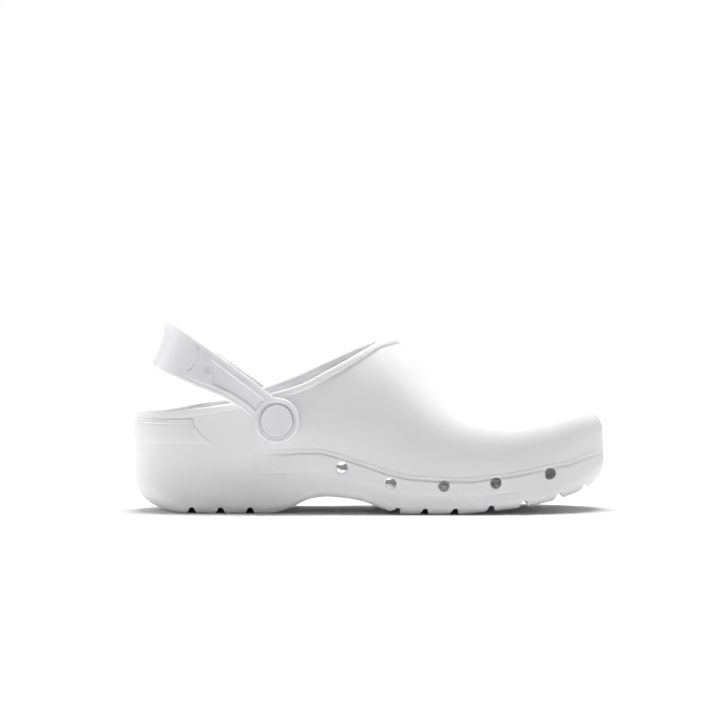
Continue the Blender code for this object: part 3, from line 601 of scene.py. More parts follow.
def pivot_face():
    """Distance of the bosses' outer faces from the middle plane: outside the wall under the whole eye."""
    front = PIVOT_ALONG + EYE_RADIUS
    return float(max(abs(outline(front, side)) for side in (LATERAL, MEDIAL))) + BOSS_PROUD


def pivot_back():
    """Distance of the pads' inner faces from the middle plane."""
    return float(min(abs(outline(PIVOT_ALONG, side)) for side in (LATERAL, MEDIAL))) - WALL - KEEPER_PAD


def wall_lean(x, height):
    """How far the wall has leaned in at a height, measured from the outline."""
    start = wall_levels(x)[3]
    rise = np.clip((height - start) / (crown_height(x) - start), 0, 1)
    reach = np.abs(outline(x, LATERAL, cap_factor(x)))
    power = along_clog(CROWN, 2, x)
    return reach * (1 - (1 - rise ** power) ** (1 / power))


def side_name(side):
    return "lateral" if side == LATERAL else "medial"


def raised(flat, height_at, lift=0.0):
    """Plan points lifted onto a height function."""
    return np.concatenate((flat, height_at(flat[:, :, :1]) + lift), axis=2)


def wall_rows(x):
    """Rows of the upright wall, bottom to top: height, and how far the surface stands out."""
    edge, low, ridge, vault = wall_levels(x)
    show = along_clog(BAND, 3, x) * BAND_DEPTH
    merge = ease((x / LENGTH - MERGE_FROM) / (MERGE_TO - MERGE_FROM))
    mm = 0.001

    def step_share(share):
        return share + (1 - share) * merge

    below = step_share(BAND_BELOW)
    waist = ease((0.50 - x / LENGTH) / 0.10)
    rows = [(edge + (low - 0.5 * mm - edge) * share, below) for share in (0, 0.2, 0.4, 0.6, 0.8)]
    rows += [(low + step * mm, step_share(proud)) for step, proud in
             ((-0.5, BAND_BELOW), (-0.3, 0.18), (-0.08, 0.16), (0.12, 0.92), (0.25, 0.99), (0.5, 1.0))]
    start, end = low + 0.5 * mm, ridge - 0.35 * mm
    rows += [(start + (end - start) * share, 1.0 - (1 - BAND_RIDGE) * share)
             for share in (0.2, 0.4, 0.6, 0.8)]
    rows += [(ridge + step * mm, proud + groove * waist) for step, proud, groove in
             ((-0.35, BAND_RIDGE, 0.0), (-0.1, 0.73, 0.0), (0.08, 0.68, -0.06), (0.3, 0.50, -0.32),
              (0.5, 0.30, -0.26), (0.7, 0.20, -0.08), (1.0, 0.17, 0.02), (1.4, 0.16, 0.0),
              (1.9, 0.15, 0.0), (2.3, 0.20, 0.0), (2.6, 0.23, 0.0), (2.9, 0.14, 0.0),
              (3.2, 0.0, 0.0), (3.4, -0.03, 0.0), (3.7, 0.0, 0.0))]
    rows.append((vault, 0.0))
    return np.stack([row[0] for row in rows], axis=1), np.stack([row[1] * show for row in rows], axis=1)


def stands_out(x, height):
    """How far the band stands out of the wall at one place."""
    heights, proud = wall_rows(np.array([x]))
    return float(np.interp(height, heights[0], proud[0]))


def shell_grid(fine):
    """Outer and inner surface of the clog as two grids, and which of its lines end at the collar."""
    foot, hub = stations(fine)
    x = foot[:, 0]
    normal = outward(foot)
    run, rise = sole_edge(x)

    sole_flat = inward_rows(foot, hub, run, 2 * fine)
    sole = raised(sole_flat, bottom_height)
    heights, proud = wall_rows(x)
    edge_flat, lift = rounded_rows(foot, hub, 0.0, run, rise, 3 * fine)
    edge_share = lift / rise[:, None]
    edge_flat = edge_flat + normal[:, None, :] * (proud[:, :1] * edge_share)[:, :, None]
    local = bottom_height(edge_flat[:, :, 0])
    edge_height = local + (heights[:, :1] - local) * edge_share
    edge = np.concatenate((edge_flat, edge_height[:, :, None]), axis=2)[:, :-1]

    upright = base_rows(foot, heights)
    vault, open_line = vault_rows(foot, hub, 7 * fine)
    plain = np.concatenate((upright, vault[:, 1:]), axis=1)
    normals = surface_normals(plain)
    normals[x > TOE_HUB - 1e-7, -1] = (0, 0, 1)
    wall = upright.copy()
    wall[:, :, :2] += normal[:, None, :] * proud[:, :, None]
    outer = np.concatenate((sole, edge, wall, vault[:, 1:]), axis=1)
    outer[:, -1] = pair_spine(outer[:, -1].copy(), foot, open_line)

    first = upright.shape[1] - 1
    inner_vault = plain[:, first:] - normals[:, first:] * WALL
    inner_vault[:, -1] = pair_spine(inner_vault[:, -1].copy(), foot, open_line)
    fillet = np.full(len(foot), INNER_FILLET)
    corner_flat, corner_lift = rounded_rows(foot, hub, WALL, fillet, fillet, 6)
    floor = raised(inward_rows(foot, hub, fillet + WALL, 2 * fine), floor_height)
    corner_height = floor_height(corner_flat[:, :, 0]) + corner_lift
    corner = np.concatenate((corner_flat, corner_height[:, :, None]), axis=2)
    inner = np.concatenate((floor, corner, inner_vault), axis=1)
    return outer, inner, open_line, normals[:, -1]


def linked(name, data):
    """New object in the scene."""
    item = bpy.data.objects.new(name, data)
    bpy.context.scene.collection.objects.link(item)
    return item


def closed(name, vertices, faces):
    """Closed mesh object, its faces outward."""
    mesh = bpy.data.meshes.new(name)
    mesh.from_pydata([tuple(v) for v in vertices], [], faces)
    work = bmesh.new()
    work.from_mesh(mesh)
    bmesh.ops.recalc_face_normals(work, faces=work.faces)
    if work.calc_volume(signed=True) < 0:
        bmesh.ops.reverse_faces(work, faces=work.faces)
    work.to_mesh(mesh)
    work.free()
    return linked(name, mesh)


def solid(name, vertices, faces):
    """Closed object from points in clog coordinates, moved so that the origin is under its middle."""
    return closed(name, np.asarray(vertices) + np.array((-LENGTH / 2, 0.0, 0.0)), faces)


def tube(name, grid):
    """Closed object from a grid whose rows close round, capped at both ends."""
    count, wide = grid.shape[:2]
    faces = []
    for k in range(count - 1):
        for row in range(wide):
            other = (row + 1) % wide
            faces.append([k * wide + row, (k + 1) * wide + row, (k + 1) * wide + other, k * wide + other])
    faces.append(list(range(wide)))
    faces.append([(count - 1) * wide + row for row in range(wide)][::-1])
    return solid(name, grid.reshape(-1, 3), faces)


def looped(name, grid):
    """Closed mesh from a looped grid whose last row repeats its first."""
    vertices, (numbers,) = merged((grid,))
    return solid(name, vertices, grid_faces(numbers, range(numbers.shape[1] - 1)))


def settle(item):
    """Turn the modifiers of an object into its mesh."""
    graph = bpy.context.evaluated_depsgraph_get()
    mesh = bpy.data.meshes.new_from_object(item.evaluated_get(graph))
    item.modifiers.clear()
    item.data = mesh
    return item


def combine(item, other, operation):
    """Join or cut two closed meshes; the second one is used up."""
    step = item.modifiers.new(other.name, "BOOLEAN")
    step.object = other
    step.operation = operation
    step.solver = "EXACT"
    settle(item)
    bpy.data.objects.remove(other)


def joined(name, items):
    """One object from several that don't touch."""
    work = bmesh.new()
    for item in items:
        settle(item)
        start = len(work.verts)
        work.from_mesh(item.data)
        work.verts.ensure_lookup_table()
        bmesh.ops.transform(work, matrix=item.matrix_world, verts=work.verts[start:])
        bpy.data.objects.remove(item)
    mesh = bpy.data.meshes.new(name)
    work.to_mesh(mesh)
    work.free()
    return linked(name, mesh)


def revolved(name, profile, steps):
    """Closed solid of revolution round Z; the profile runs from the axis to the axis, radius then height."""
    angles = np.linspace(0, 2 * math.pi, steps, endpoint=False)
    vertices = [(0.0, 0.0, profile[0][1])]
    for radius, height in profile[1:-1]:
        vertices += [(radius * math.cos(a), radius * math.sin(a), height) for a in angles]
    vertices.append((0.0, 0.0, profile[-1][1]))
    faces = []
    rings = len(profile) - 2
    for k in range(steps):
        after = (k + 1) % steps
        faces.append((0, 1 + k, 1 + after))
        for ring in range(rings - 1):
            a, b = 1 + ring * steps, 1 + (ring + 1) * steps
            faces.append((a + k, b + k, b + after, a + after))
        last = 1 + (rings - 1) * steps
        faces.append((len(vertices) - 1, last + after, last + k))
    return closed(name, vertices, faces)


def place_mesh(item, matrix):
    item.data.transform(matrix)
    return item


def arc(middle, radius, begin, end, steps):
    """Points of a circle's arc for a section or a turned profile."""
    return [(middle[0] + radius * math.cos(math.radians(begin + (end - begin) * k / steps)),
             middle[1] + radius * math.sin(math.radians(begin + (end - begin) * k / steps)))
            for k in range(steps + 1)]


def across(place, side):
    """Matrix that turns Z towards one side of the clog, at a place given in clog coordinates."""
    spot = Vector(place) - Vector((LENGTH / 2, 0, 0))
    return Matrix.Translation(spot) @ Matrix.Rotation(-side * math.pi / 2, 4, "X")


def at_pivot(item, side, out=0.0):
    """Put a turned piece on the strap's axis, at a distance out from the middle plane."""
    return place_mesh(item, across((PIVOT_ALONG, side * out, PIVOT_HEIGHT), side))


def rim_frames(fine):
    """Rim points in a loop, each with its outward normal and its direction towards the opening."""
    outer, _, open_line, normals = shell_grid(fine)
    keep = np.flatnonzero(open_line)[:-1]
    rim, normal, below = outer[keep, -1], normals[keep].copy(), outer[keep, -2]
    normal[0, 1] = 0.0
    tangent = np.roll(rim, -1, axis=0) - np.roll(rim, 1, axis=0)
    tangent /= np.linalg.norm(tangent, axis=1, keepdims=True)
    normal -= tangent * np.sum(normal * tangent, axis=1, keepdims=True)
    normal /= np.linalg.norm(normal, axis=1, keepdims=True)
    upward = np.cross(normal, tangent)
    flip = np.sign(np.sum(upward * (rim - below), axis=1, keepdims=True))
    flip[0] = np.sign(upward[0, 2])
    return rim, normal, upward * flip


def lip_section():
    """Section of the lip, a rolled bead: distance out of the wall, distance along it towards the opening."""
    half = LIP_HEIGHT / 2
    bend = LIP_PROUD - LIP_ROUND
    back = -(WALL + LIP_BEAD)
    points = [(-WALL / 2, -half)]
    points += arc((bend, -half + LIP_ROUND), LIP_ROUND, -90, 0, 6)
    points += arc((bend, half - LIP_ROUND), LIP_ROUND, 0, 90, 6)
    return points + arc((back + half, 0), half, 90, 270, 12)


def lip_fade(x):
    """The lip stands out less round the heel."""
    return ease((x - HEEL_HUB) / (PIVOT_ALONG - HEEL_HUB))


def make_lip(frames):
    rim, normal, upward = frames
    proud = (LIP_PROUD_HEEL + (LIP_PROUD - LIP_PROUD_HEEL) * lip_fade(rim[:, 0])) / LIP_PROUD
    profile = lip_section()
    grid = np.stack([rim + normal * out * np.where(out > 0, proud, 1.0)[:, None] + upward * along
                     for out, along in profile + profile[:1]], axis=1)
    return looped("lip", grid)


def make_quirk(frames):
    """Thin groove that runs under the lip."""
    rim, normal, upward = frames
    size = LIP_QUIRK * (0.35 + 0.65 * lip_fade(rim[:, 0]))
    rows = []
    for angle in range(0, 361, 36):
        turn = math.radians(angle)
        rows.append(rim + normal * (size * math.cos(turn))[:, None]
                    + upward * (size * math.sin(turn) - LIP_HEIGHT / 2 - 0.2 * size)[:, None])
    rows[-1] = rows[0]
    return looped("lip_groove", np.stack(rows, axis=1))


def panel_line(side, end, count):
    """Even points on the outline from the panel's front end to the middle of the heel's back."""
    ahead = np.linspace(PANEL_END_BOTTOM, HEEL_HUB, 40)[:-1]
    edge = np.stack((ahead, outline(ahead, side, cap_factor(ahead))), axis=1)
    line = np.vstack((edge, heel_outline(side, 60)))
    return even_steps(line[line[:, 0] <= end + 1e-9], count)


def make_heel_panel():
    """Raised panel round the heel with a rib along its upper edge; its front ends slant."""
    mm = 0.001
    low, high = PANEL_BOTTOM, PANEL_TOP
    rib = high - PANEL_RIB
    levels = [(low, -PANEL_ROOT), (low, 0.0)]
    levels += [(low + step * mm, share) for step, share in ((0.4, 0.16), (1.0, 0.30), (2.0, 0.46))]
    levels += [(low + share * (rib - low), 0.62) for share in (0.35, 0.5, 0.7, 0.9)]
    levels += [(rib + step * mm, share) for step, share in
               ((-0.3, 0.58), (-0.1, 0.40), (0.1, 0.62), (0.4, 1.0), (0.8, 1.06), (1.3, 0.72), (1.8, 0.70))]
    levels += [(high - step * mm, share) for step, share in ((0.8, 1.0), (0.4, 0.95), (0.15, 0.6), (0, 0))]
    levels.append((high, -PANEL_ROOT))
    rows = []
    for height, share in levels:
        proud = share if share < 0 else share * PANEL_PROUD
        at = min((height - low) / (rib - low), 1.0)
        end = PANEL_END_BOTTOM + (PANEL_END_TOP - PANEL_END_BOTTOM) * at ** PANEL_END_CURVE
        line = np.vstack((panel_line(LATERAL, end, 60), panel_line(MEDIAL, end, 60)[-2::-1]))
        tangent = np.gradient(line, axis=0)
        tangent /= np.linalg.norm(tangent, axis=1, keepdims=True)
        out = np.stack((-tangent[:, 1], tangent[:, 0]), axis=1)
        reach = np.concatenate(([0.0], np.cumsum(np.linalg.norm(np.diff(line, axis=0), axis=1))))
        ends = np.minimum(reach, reach[-1] - reach)
        rise = ease(ends / (0.6 * mm)) * (1 + 0.35 * np.exp(-((ends - 1.1 * mm) / (0.6 * mm)) ** 2))
        stand = np.full(len(line), proud) if proud <= 0 else proud * rise
        flat = line + out * (stand - wall_lean(line[:, 0], height))[:, None]
        rows.append(np.concatenate((flat, np.full((len(line), 1), height)), axis=1))
    return tube("heel_panel", np.stack(rows, axis=1))


def make_boss(side):
    near, far = pivot_back(), pivot_face()
    soft = 0.0006
    profile = ((0, near), (BOSS_RADIUS, near), (BOSS_RADIUS, far - soft),
               (BOSS_RADIUS - 0.3 * soft, far - 0.3 * soft), (BOSS_RADIUS - soft, far), (0, far))
    return at_pivot(revolved("boss", profile, 64), side)


def reach_at(along, side):
    """Distance of the outline from the middle plane."""
    return abs(float(outline(along, side, cap_factor(along))))


def make_vents(side):
    """Round holes through the side, each with a rounded mouth."""
    made = []
    step = 0.0005
    for share, height in VENTS:
        along = share * LENGTH
        level = height * BAND_TOP
        slope = (reach_at(along + step, side) - reach_at(along - step, side)) / (2 * step)
        face = reach_at(along, side) + stands_out(along, level) * math.sqrt(1 + slope * slope)
        near, far = face - VENT_REACH, face + VENT_REACH
        hole = revolved("vent", ((0, near), (VENT_RADIUS, near), (VENT_RADIUS, far), (0, far)), 40)
        place_mesh(hole, across((along, 0, level), side))
        ring = [(0, -VENT_MOUTH * 1.6), (VENT_RADIUS - 0.00005, -VENT_MOUTH * 1.6)]
        ring += arc((VENT_RADIUS + VENT_MOUTH, -VENT_MOUTH), VENT_MOUTH, 180, 90, 6)
        ring += [(VENT_RADIUS + VENT_MOUTH, 0.003), (0, 0.003)]
        mouth = revolved("vent_mouth", ring, 40)
        mouth.data.transform(Matrix.Rotation(math.atan(slope), 4, "Y"))
        place_mesh(mouth, across((along, side * face, level), side))
        made.append((hole, mouth))
    return made


def make_groove(along):
    """Bar across the sole. Under the forefoot its front flank is the steeper one."""
    step = 0.002 * LENGTH
    rise = float(bottom_height(along + step) - bottom_height(along - step)) / (2 * step)
    turn = Matrix.Rotation(-math.atan(rise), 3, "Y")
    place = Vector((along, 0.0, float(bottom_height(along))))
    shift = GROOVE_SHIFT if along > LENGTH / 2 else 0.0
    mouth, root, soft = GROOVE_WIDTH / 2, GROOVE_ROOT / 2, 0.0006
    section = [(-mouth - soft, -GROOVE_BAR), (-mouth - soft, -0.0001), (-mouth - 0.45 * soft, 0.15 * soft),
               (-mouth + 0.1 * soft, 0.6 * soft)]
    for begin, middle in ((180, shift - root + GROOVE_ROUND), (90, shift + root - GROOVE_ROUND)):
        section += arc((middle, GROOVE_DEPTH - GROOVE_ROUND), GROOVE_ROUND, begin, begin - 90, 4)
    section += [(mouth - 0.1 * soft, 0.6 * soft), (mouth + 0.45 * soft, 0.15 * soft),
                (mouth + soft, -0.0001), (mouth + soft, -GROOVE_BAR)]
    reach = BALL_WIDTH * 0.65
    return tube("groove", np.array([[turn @ Vector((x, y, z)) + place for x, z in section]
                                    for y in (-reach, reach)]))


def make_sipes():
    """Fine wavy cuts across the tread's lugs, closed before the edge of the sole."""
    places = [share * LENGTH for share in HEEL_GROOVES + FORE_GROOVES]
    spans = [(before + after) / 2 for before, after in zip(places, places[1:])
             if after - before < LUG_LONGEST]
    heel, ball = len(HEEL_GROOVES) - 1, len(HEEL_GROOVES)
    spans += [places[heel] + SIPE_PAST_HEEL, places[ball] - SIPE_BEFORE_BALL]
    bars = []
    for along in spans:
        room = [reach_at(along, side) - SIPE_MARGIN for side in (LATERAL, MEDIAL)]
        y = np.linspace(-room[0], room[1], 80)
        x = along + SIPE_WAVE * np.sin(y * 2 * math.pi / SIPE_WAVE_LENGTH)
        base = bottom_height(x)
        half = SIPE_WIDTH / 2 * np.sqrt(np.clip(1 - (np.abs(np.linspace(-1, 1, 80)) ** 24), 0.02, 1))
        rows = [np.stack((x + shift * half, y, base + up), axis=1)
                for shift, up in ((-1, -0.002), (1, -0.002), (0.7, SIPE_DEPTH), (-0.7, SIPE_DEPTH))]
        bars.append(tube("sipe", np.stack(rows, axis=1)))
    return bars


def make_shell():
    outer, inner, open_line, _ = shell_grid(SHELL_FINE)
    vertices, (outside, inside) = merged((outer, inner))
    faces = grid_faces(outside, range(outside.shape[1] - 1))
    faces += [face[::-1] for face in grid_faces(inside, range(inside.shape[1] - 1))]
    rim = np.stack((outside[:, -1], inside[:, -1]), axis=1)
    for k in range(len(rim)):
        after = (k + 1) % len(rim)
        if open_line[k] and open_line[after]:
            faces.append([rim[k, 0], rim[after, 0], rim[after, 1], rim[k, 1]])
    shell = solid("shell_moulding", vertices, faces)
    frames = rim_frames(SHELL_FINE)
    combine(shell, make_lip(frames), "UNION")
    combine(shell, make_heel_panel(), "UNION")
    combine(shell, joined("bosses", [make_boss(side) for side in (LATERAL, MEDIAL)]), "UNION")
    combine(shell, make_quirk(frames), "DIFFERENCE")
    vents = make_vents(LATERAL) + make_vents(MEDIAL)
    holes = [hole for hole, _ in vents]
    near, far, bore = pivot_back() - CUT_PAST, pivot_face() + CUT_PAST, SHAFT_RADIUS + GAP
    for side in (LATERAL, MEDIAL):
        hole = revolved("rivet_hole", ((0, near), (bore, near), (bore, far), (0, far)), 48)
        holes.append(at_pivot(hole, side))
    grooves = [make_groove(share * LENGTH) for share in HEEL_GROOVES + FORE_GROOVES]
    combine(shell, joined("holes", holes + grooves), "DIFFERENCE")
    combine(shell, joined("mouths", [mouth for _, mouth in vents] + make_sipes()), "DIFFERENCE")
    return finished(shell)


def finished(item, angle=38):
    """Smooth shading with sharp edges kept."""
    item.data.shade_smooth()
    item.data.set_sharp_from_angle(angle=math.radians(angle))
    return item


def make_insole():
    """Loose footbed with a rounded edge and a low rim."""
    foot, hub = stations(INSOLE_FINE)
    rows = [raised(inward_rows(foot, hub, WALL + INSOLE_EDGE_LOW, 8), floor_height, GAP)]
    soft = 0.0009
    rings = []
    for share in (0.25, 0.5, 0.75):
        inset = WALL + INSOLE_EDGE_LOW + (INSOLE_EDGE_HIGH - INSOLE_EDGE_LOW) * share
        rings.append((inset, GAP + (INSOLE_THICKNESS - soft) * share))
    for angle in (20, 45, 70):
        turn = math.radians(angle)
        rings.append((WALL + INSOLE_EDGE_HIGH + soft * (1 - math.cos(turn)),
                      GAP + INSOLE_THICKNESS - soft * (1 - math.sin(turn))))
    rows += [raised(inward_rows(foot, hub, inset, 2)[:, -1:], floor_height, lift) for inset, lift in rings]
    top = inward_rows(foot, hub, WALL + INSOLE_EDGE_HIGH + soft, 14)
    rows.append(raised(top, floor_height, GAP + INSOLE_THICKNESS)[:, ::-1])
    return finished(looped("insole_pad", np.concatenate(rows, axis=1)), 45)


def wire(tree, links):
    """Link a node's output to another node's input, for each row of a list."""
    for start, output, end, goal in links:
        tree.links.new(start.outputs[output], end.inputs[goal])


def set_sockets(node, values):
    """Set constants on a node's own sockets."""
    for name, value in values.items():
        node.inputs[name].default_value = value
    return node


def nub_tree():
    """Geometry Nodes tree: low round nubs on the points of a mesh."""
    tree = bpy.data.node_groups.new("footbed_nubs", "GeometryNodeTree")
    face = tree.interface
    face.new_socket("Points", in_out="INPUT", socket_type="NodeSocketGeometry")
    for name, value in (("Nub radius", NUB_RADIUS), ("Nub height", NUB_HEIGHT)):
        socket = face.new_socket(name, in_out="INPUT", socket_type="NodeSocketFloat")
        socket.default_value = value
    face.new_socket("Nub material", in_out="INPUT", socket_type="NodeSocketMaterial")
    face.new_socket("Geometry", in_out="OUTPUT", socket_type="NodeSocketGeometry")
    add = tree.nodes.new
    given, result = add("NodeGroupInput"), add("NodeGroupOutput")
    points = add("GeometryNodeMeshToPoints")
    nub = set_sockets(add("GeometryNodeMeshUVSphere"), {"Segments": 10, "Rings": 5, "Radius": 1.0})
    scale = add("ShaderNodeCombineXYZ")
    stand = add("GeometryNodeInstanceOnPoints")
    real = add("GeometryNodeRealizeInstances")
    paint = add("GeometryNodeSetMaterial")
    smooth = add("GeometryNodeSetShadeSmooth")
    wire(tree, ((given, "Points", points, "Mesh"), (points, "Points", stand, "Points"),
                (nub, "Mesh", stand, "Instance"), (given, "Nub radius", scale, "X"),
                (given, "Nub radius", scale, "Y"), (given, "Nub height", scale, "Z"),
                (scale, "Vector", stand, "Scale"), (stand, "Instances", smooth, "Geometry"),
                (smooth, "Geometry", real, "Geometry"), (real, "Geometry", paint, "Geometry"),
                (given, "Nub material", paint, "Material"), (paint, "Geometry", result, "Geometry")))
    return tree


def set_input(modifier, name, value):
    """Set a named input of a Geometry Nodes modifier through its socket's identifier."""
    for socket in modifier.node_group.interface.items_tree:
        if socket.item_type == "SOCKET" and socket.in_out == "INPUT" and socket.name == name:
            modifier[socket.identifier] = value


def make_nubs(material):
    """Staggered rows of low nubs over the footbed."""
    spots = []
    row = 0
    x = NUB_FIRST
    while x < LENGTH - NUB_LAST:
        edges = [float(outline(x, side, cap_factor(x))) for side in (LATERAL, MEDIAL)]
        low, high = edges[0] + WALL + NUB_MARGIN, edges[1] - WALL - NUB_MARGIN
        start = math.ceil(low / NUB_SPACING) * NUB_SPACING + (NUB_SPACING / 2 if row % 2 else 0.0)
        for y in np.arange(start, high, NUB_SPACING):
            spots.append((x, y, float(floor_height(x)) + GAP + INSOLE_THICKNESS))
        x += NUB_SPACING * NUB_ROWS
        row += 1
    mesh = bpy.data.meshes.new("footbed_nubs")
    mesh.from_pydata([tuple(Vector(spot) - Vector((LENGTH / 2, 0, 0))) for spot in spots], [], [])
    item = linked("footbed_nubs", mesh)
    nodes = item.modifiers.new("nubs", "NODES")
    nodes.node_group = nub_tree()
    set_input(nodes, "Nub material", material)
    return settle(item)


def strap_edges(s):
    """Lower and upper edge of the strap at a distance from the pivot, both ends of it included."""
    share = np.maximum(s, 0) / STRAP_REACH
    circle = np.sqrt(np.maximum(EYE_RADIUS ** 2 - s ** 2, 0))
    low = np.where(s < EYE_END, -circle, table_value(STRAP, 1, share) * EYE_RADIUS)
    high = np.where(s < EYE_END, circle, table_value(STRAP, 2, share) * EYE_RADIUS)
    return low, high


def strap_path(steps_eye, steps_arm):
    """Half of the strap's middle line: distance back from the pivot and half spread."""
    spread = pivot_face() + GAP + STRAP_THICKNESS / 2
    angle = np.linspace(0, math.pi / 2, 800)
    arc = np.stack((STRAP_REACH * np.sin(angle) ** (2 / STRAP_BEND_POWER),
                    spread * np.cos(angle).clip(0) ** (2 / STRAP_BEND_POWER)), axis=1)
    arm = even_steps(arc, steps_arm)
    turn = np.linspace(0, math.pi / 2, steps_eye + 1)[:-1]
    eye = np.stack((-EYE_RADIUS * np.cos(turn), np.full(steps_eye, spread)), axis=1)
    return np.vstack((eye, arm))


def to_curve(s, h, curve):
    """Distance from points to a short polyline."""
    best = np.full(s.shape, 1.0)
    for (s0, h0), (s1, h1) in zip(curve, curve[1:]):
        ds, dh = s1 - s0, h1 - h0
        t = np.clip(((s - s0) * ds + (h - h0) * dh) / (ds * ds + dh * dh), 0, 1)
        best = np.minimum(best, np.hypot(s - s0 - t * ds, h - h0 - t * dh))
    return best


def strap_relief(s, h, inside):
    """Height of the strap's outer face over its full thickness: rims, recess, crease and dimple."""
    radius = np.hypot(s, h)
    arm = ease((s - EYE_END) / 0.006)
    outer_rim = ease((OUTER_RIM + 0.0005 - inside) / 0.0010) * arm * ease((RIM_END - s) / RIM_FADE)
    ring = ease((EYE_RADIUS - EYE_RIM - radius) / 0.0006)
    sunk = ease((radius - RECESS_START) / 0.0010) * ease((inside - RIM_WIDTH + 0.0004) / 0.0009)
    sunk = sunk * ease((RECESS_BACK + RECESS_LEAN * h - s) / 0.0016)
    crease = np.exp(-(to_curve(s, h, CUP_CREASE) / CREASE_WIDTH) ** 2)
    dimple = to_curve(s, h, STRAP_DIMPLE)
    hollow = np.exp(-(np.hypot(s - HOLLOW_PLACE[0], h - HOLLOW_PLACE[1]) / HOLLOW_RADIUS) ** 2)
    hollow = hollow * (s > STRAP_DIMPLE[0][0] + 0.6 * (h - STRAP_DIMPLE[0][1]))
    return (-RIM_STEP * outer_rim - EYE_STEP * ring - PANEL_RECESS * sunk - CREASE_DEPTH * crease
            - DIMPLE_DEPTH * ease((DIMPLE_RADIUS - dimple) / 0.0006) - HOLLOW_DEPTH * hollow)


def rounded_edge(inside):
    """How far the face drops near an edge of the strap."""
    near = np.clip(STRAP_ROUND - inside, 0, STRAP_ROUND)
    return STRAP_ROUND - np.sqrt(STRAP_ROUND ** 2 - near ** 2)


def make_strap():
    half = strap_path(34, 210)
    reach = half[:, 0].max()
    line = np.vstack((half, half[-2::-1] * np.array((1, -1))))
    tangent = np.gradient(line, axis=0)
    tangent /= np.linalg.norm(tangent, axis=1, keepdims=True)
    out = np.stack((-tangent[:, 1], tangent[:, 0]), axis=1)
    s = line[:, 0]
    low, high = strap_edges(s)
    share = np.maximum(s, 0) / reach
    flare = np.where(s > 0, table_value(STRAP, 3, share), 0.0)
    lean = np.where(s > 0, table_value(STRAP, 4, share), 0.0)
    width = high - low
    fine, coarse = [np.concatenate(([0, 0.004, 0.014, 0.03], middle, [0.97, 0.986, 0.996, 1.0]))
                    for middle in (np.linspace(0.05, 0.95, 61), np.linspace(0.06, 0.94, 12))]
    half_thick = STRAP_THICKNESS / 2
    rows = []
    for shares, face in ((fine, 1), (coarse[::-1], -1)):
        for t in shares:
            h = low + width * t
            inside = np.minimum(h - low, high - h)
            inside = np.where(s < EYE_END, np.minimum(inside, EYE_RADIUS - np.hypot(s, h)), inside)
            drop = rounded_edge(np.maximum(inside, 0))
            bow = flare * CUP_FLARE * (2 * t - 1) ** 2
            relief = strap_relief(s, h, inside) if face > 0 else 0.0
            rows.append((h, bow + face * (half_thick - drop) + relief))
    tilt = STRAP_TILT - STRAP_TWIST * line[:, 1] / line[0, 1]
    back, up = np.cos(tilt), np.sin(tilt)
    columns = []
    for h, offset in rows + rows[:1]:
        flat = line + out * offset[:, None]
        flat[:, 0] += h * lean
        x = PIVOT_ALONG - flat[:, 0] * back + h * up
        z = PIVOT_HEIGHT + flat[:, 0] * up + h * back
        columns.append(np.stack((x, flat[:, 1], z), axis=1))
    vertices, (numbers,) = merged((np.stack(columns, axis=1),))
    faces = grid_faces(numbers, range(numbers.shape[1] - 1), loop=False)
    for end in (0, len(numbers) - 1):
        ring = list(dict.fromkeys(int(v) for v in numbers[end]))
        if len(ring) > 2:
            faces.append(ring)
    strap = solid("strap_moulding", vertices, faces)
    near, face = pivot_face() - CUT_PAST, pivot_face() + GAP + STRAP_THICKNESS
    seat, hole = BUTTON_RADIUS + GAP, SHAFT_RADIUS + GAP
    profile = ((0, near), (hole, near), (hole, face - BUTTON_SEAT), (seat, face - BUTTON_SEAT),
               (seat, face + CUT_PAST), (0, face + CUT_PAST))
    cuts = [at_pivot(revolved("seat", profile, 72), side) for side in (LATERAL, MEDIAL)]
    combine(strap, joined("seats", cuts), "DIFFERENCE")
    return finished(strap, 40)


def make_button(side):
    """Plain round rivet head, slightly dished, with a rounded edge, and its shaft."""
    base = pivot_face() + STRAP_THICKNESS - BUTTON_SEAT + 2 * GAP
    shaft_end = base - (pivot_back() - GAP - KEEPER_BORE_DEPTH)
    soft = 0.0007
    profile = [(BUTTON_RADIUS * share, BUTTON_HEIGHT - 0.00035 + 0.0003 * share ** 2)
               for share in (0, 0.2, 0.4, 0.6, 0.75, 0.86)]
    profile += arc((BUTTON_RADIUS - soft, BUTTON_HEIGHT - soft - 0.0001), soft, 90, 0, 6)
    profile += [(BUTTON_RADIUS, 0.0002), (BUTTON_RADIUS - 0.0002, 0), (SHAFT_RADIUS, 0),
                (SHAFT_RADIUS, -shaft_end), (0, -shaft_end)]
    item = revolved(f"button_head_{side_name(side)}", profile, 96)
    return finished(at_pivot(item, side, base), 50)


def make_keeper(side):
    """Cap that holds the rivet's shaft inside the wall."""
    bore = SHAFT_RADIUS + GAP
    soft = 0.0007
    profile = [(0, -KEEPER_BORE_DEPTH - GAP), (bore, -KEEPER_BORE_DEPTH - GAP), (bore, 0),
               (KEEPER_RADIUS - 0.0002, 0), (KEEPER_RADIUS, -0.0002)]
    profile += arc((KEEPER_RADIUS - soft, -KEEPER_HEIGHT + soft), soft, 0, -90, 6)
    profile += [(KEEPER_RADIUS * 0.55, -KEEPER_HEIGHT), (KEEPER_RADIUS * 0.5, -KEEPER_HEIGHT + 0.0003),
                (0, -KEEPER_HEIGHT + 0.0003)]
    item = revolved(f"keeper_cap_{side_name(side)}", profile, 72)
    return finished(at_pivot(item, side, pivot_back() - GAP), 50)


def new_material(name, values):
    """Material with constants on its shader, and the parts that its other nodes need."""
    material = bpy.data.materials.new(name)
    material.use_nodes = True
    tree = material.node_tree
    return material, tree, tree.nodes.new, set_sockets(tree.nodes["Principled BSDF"], values)


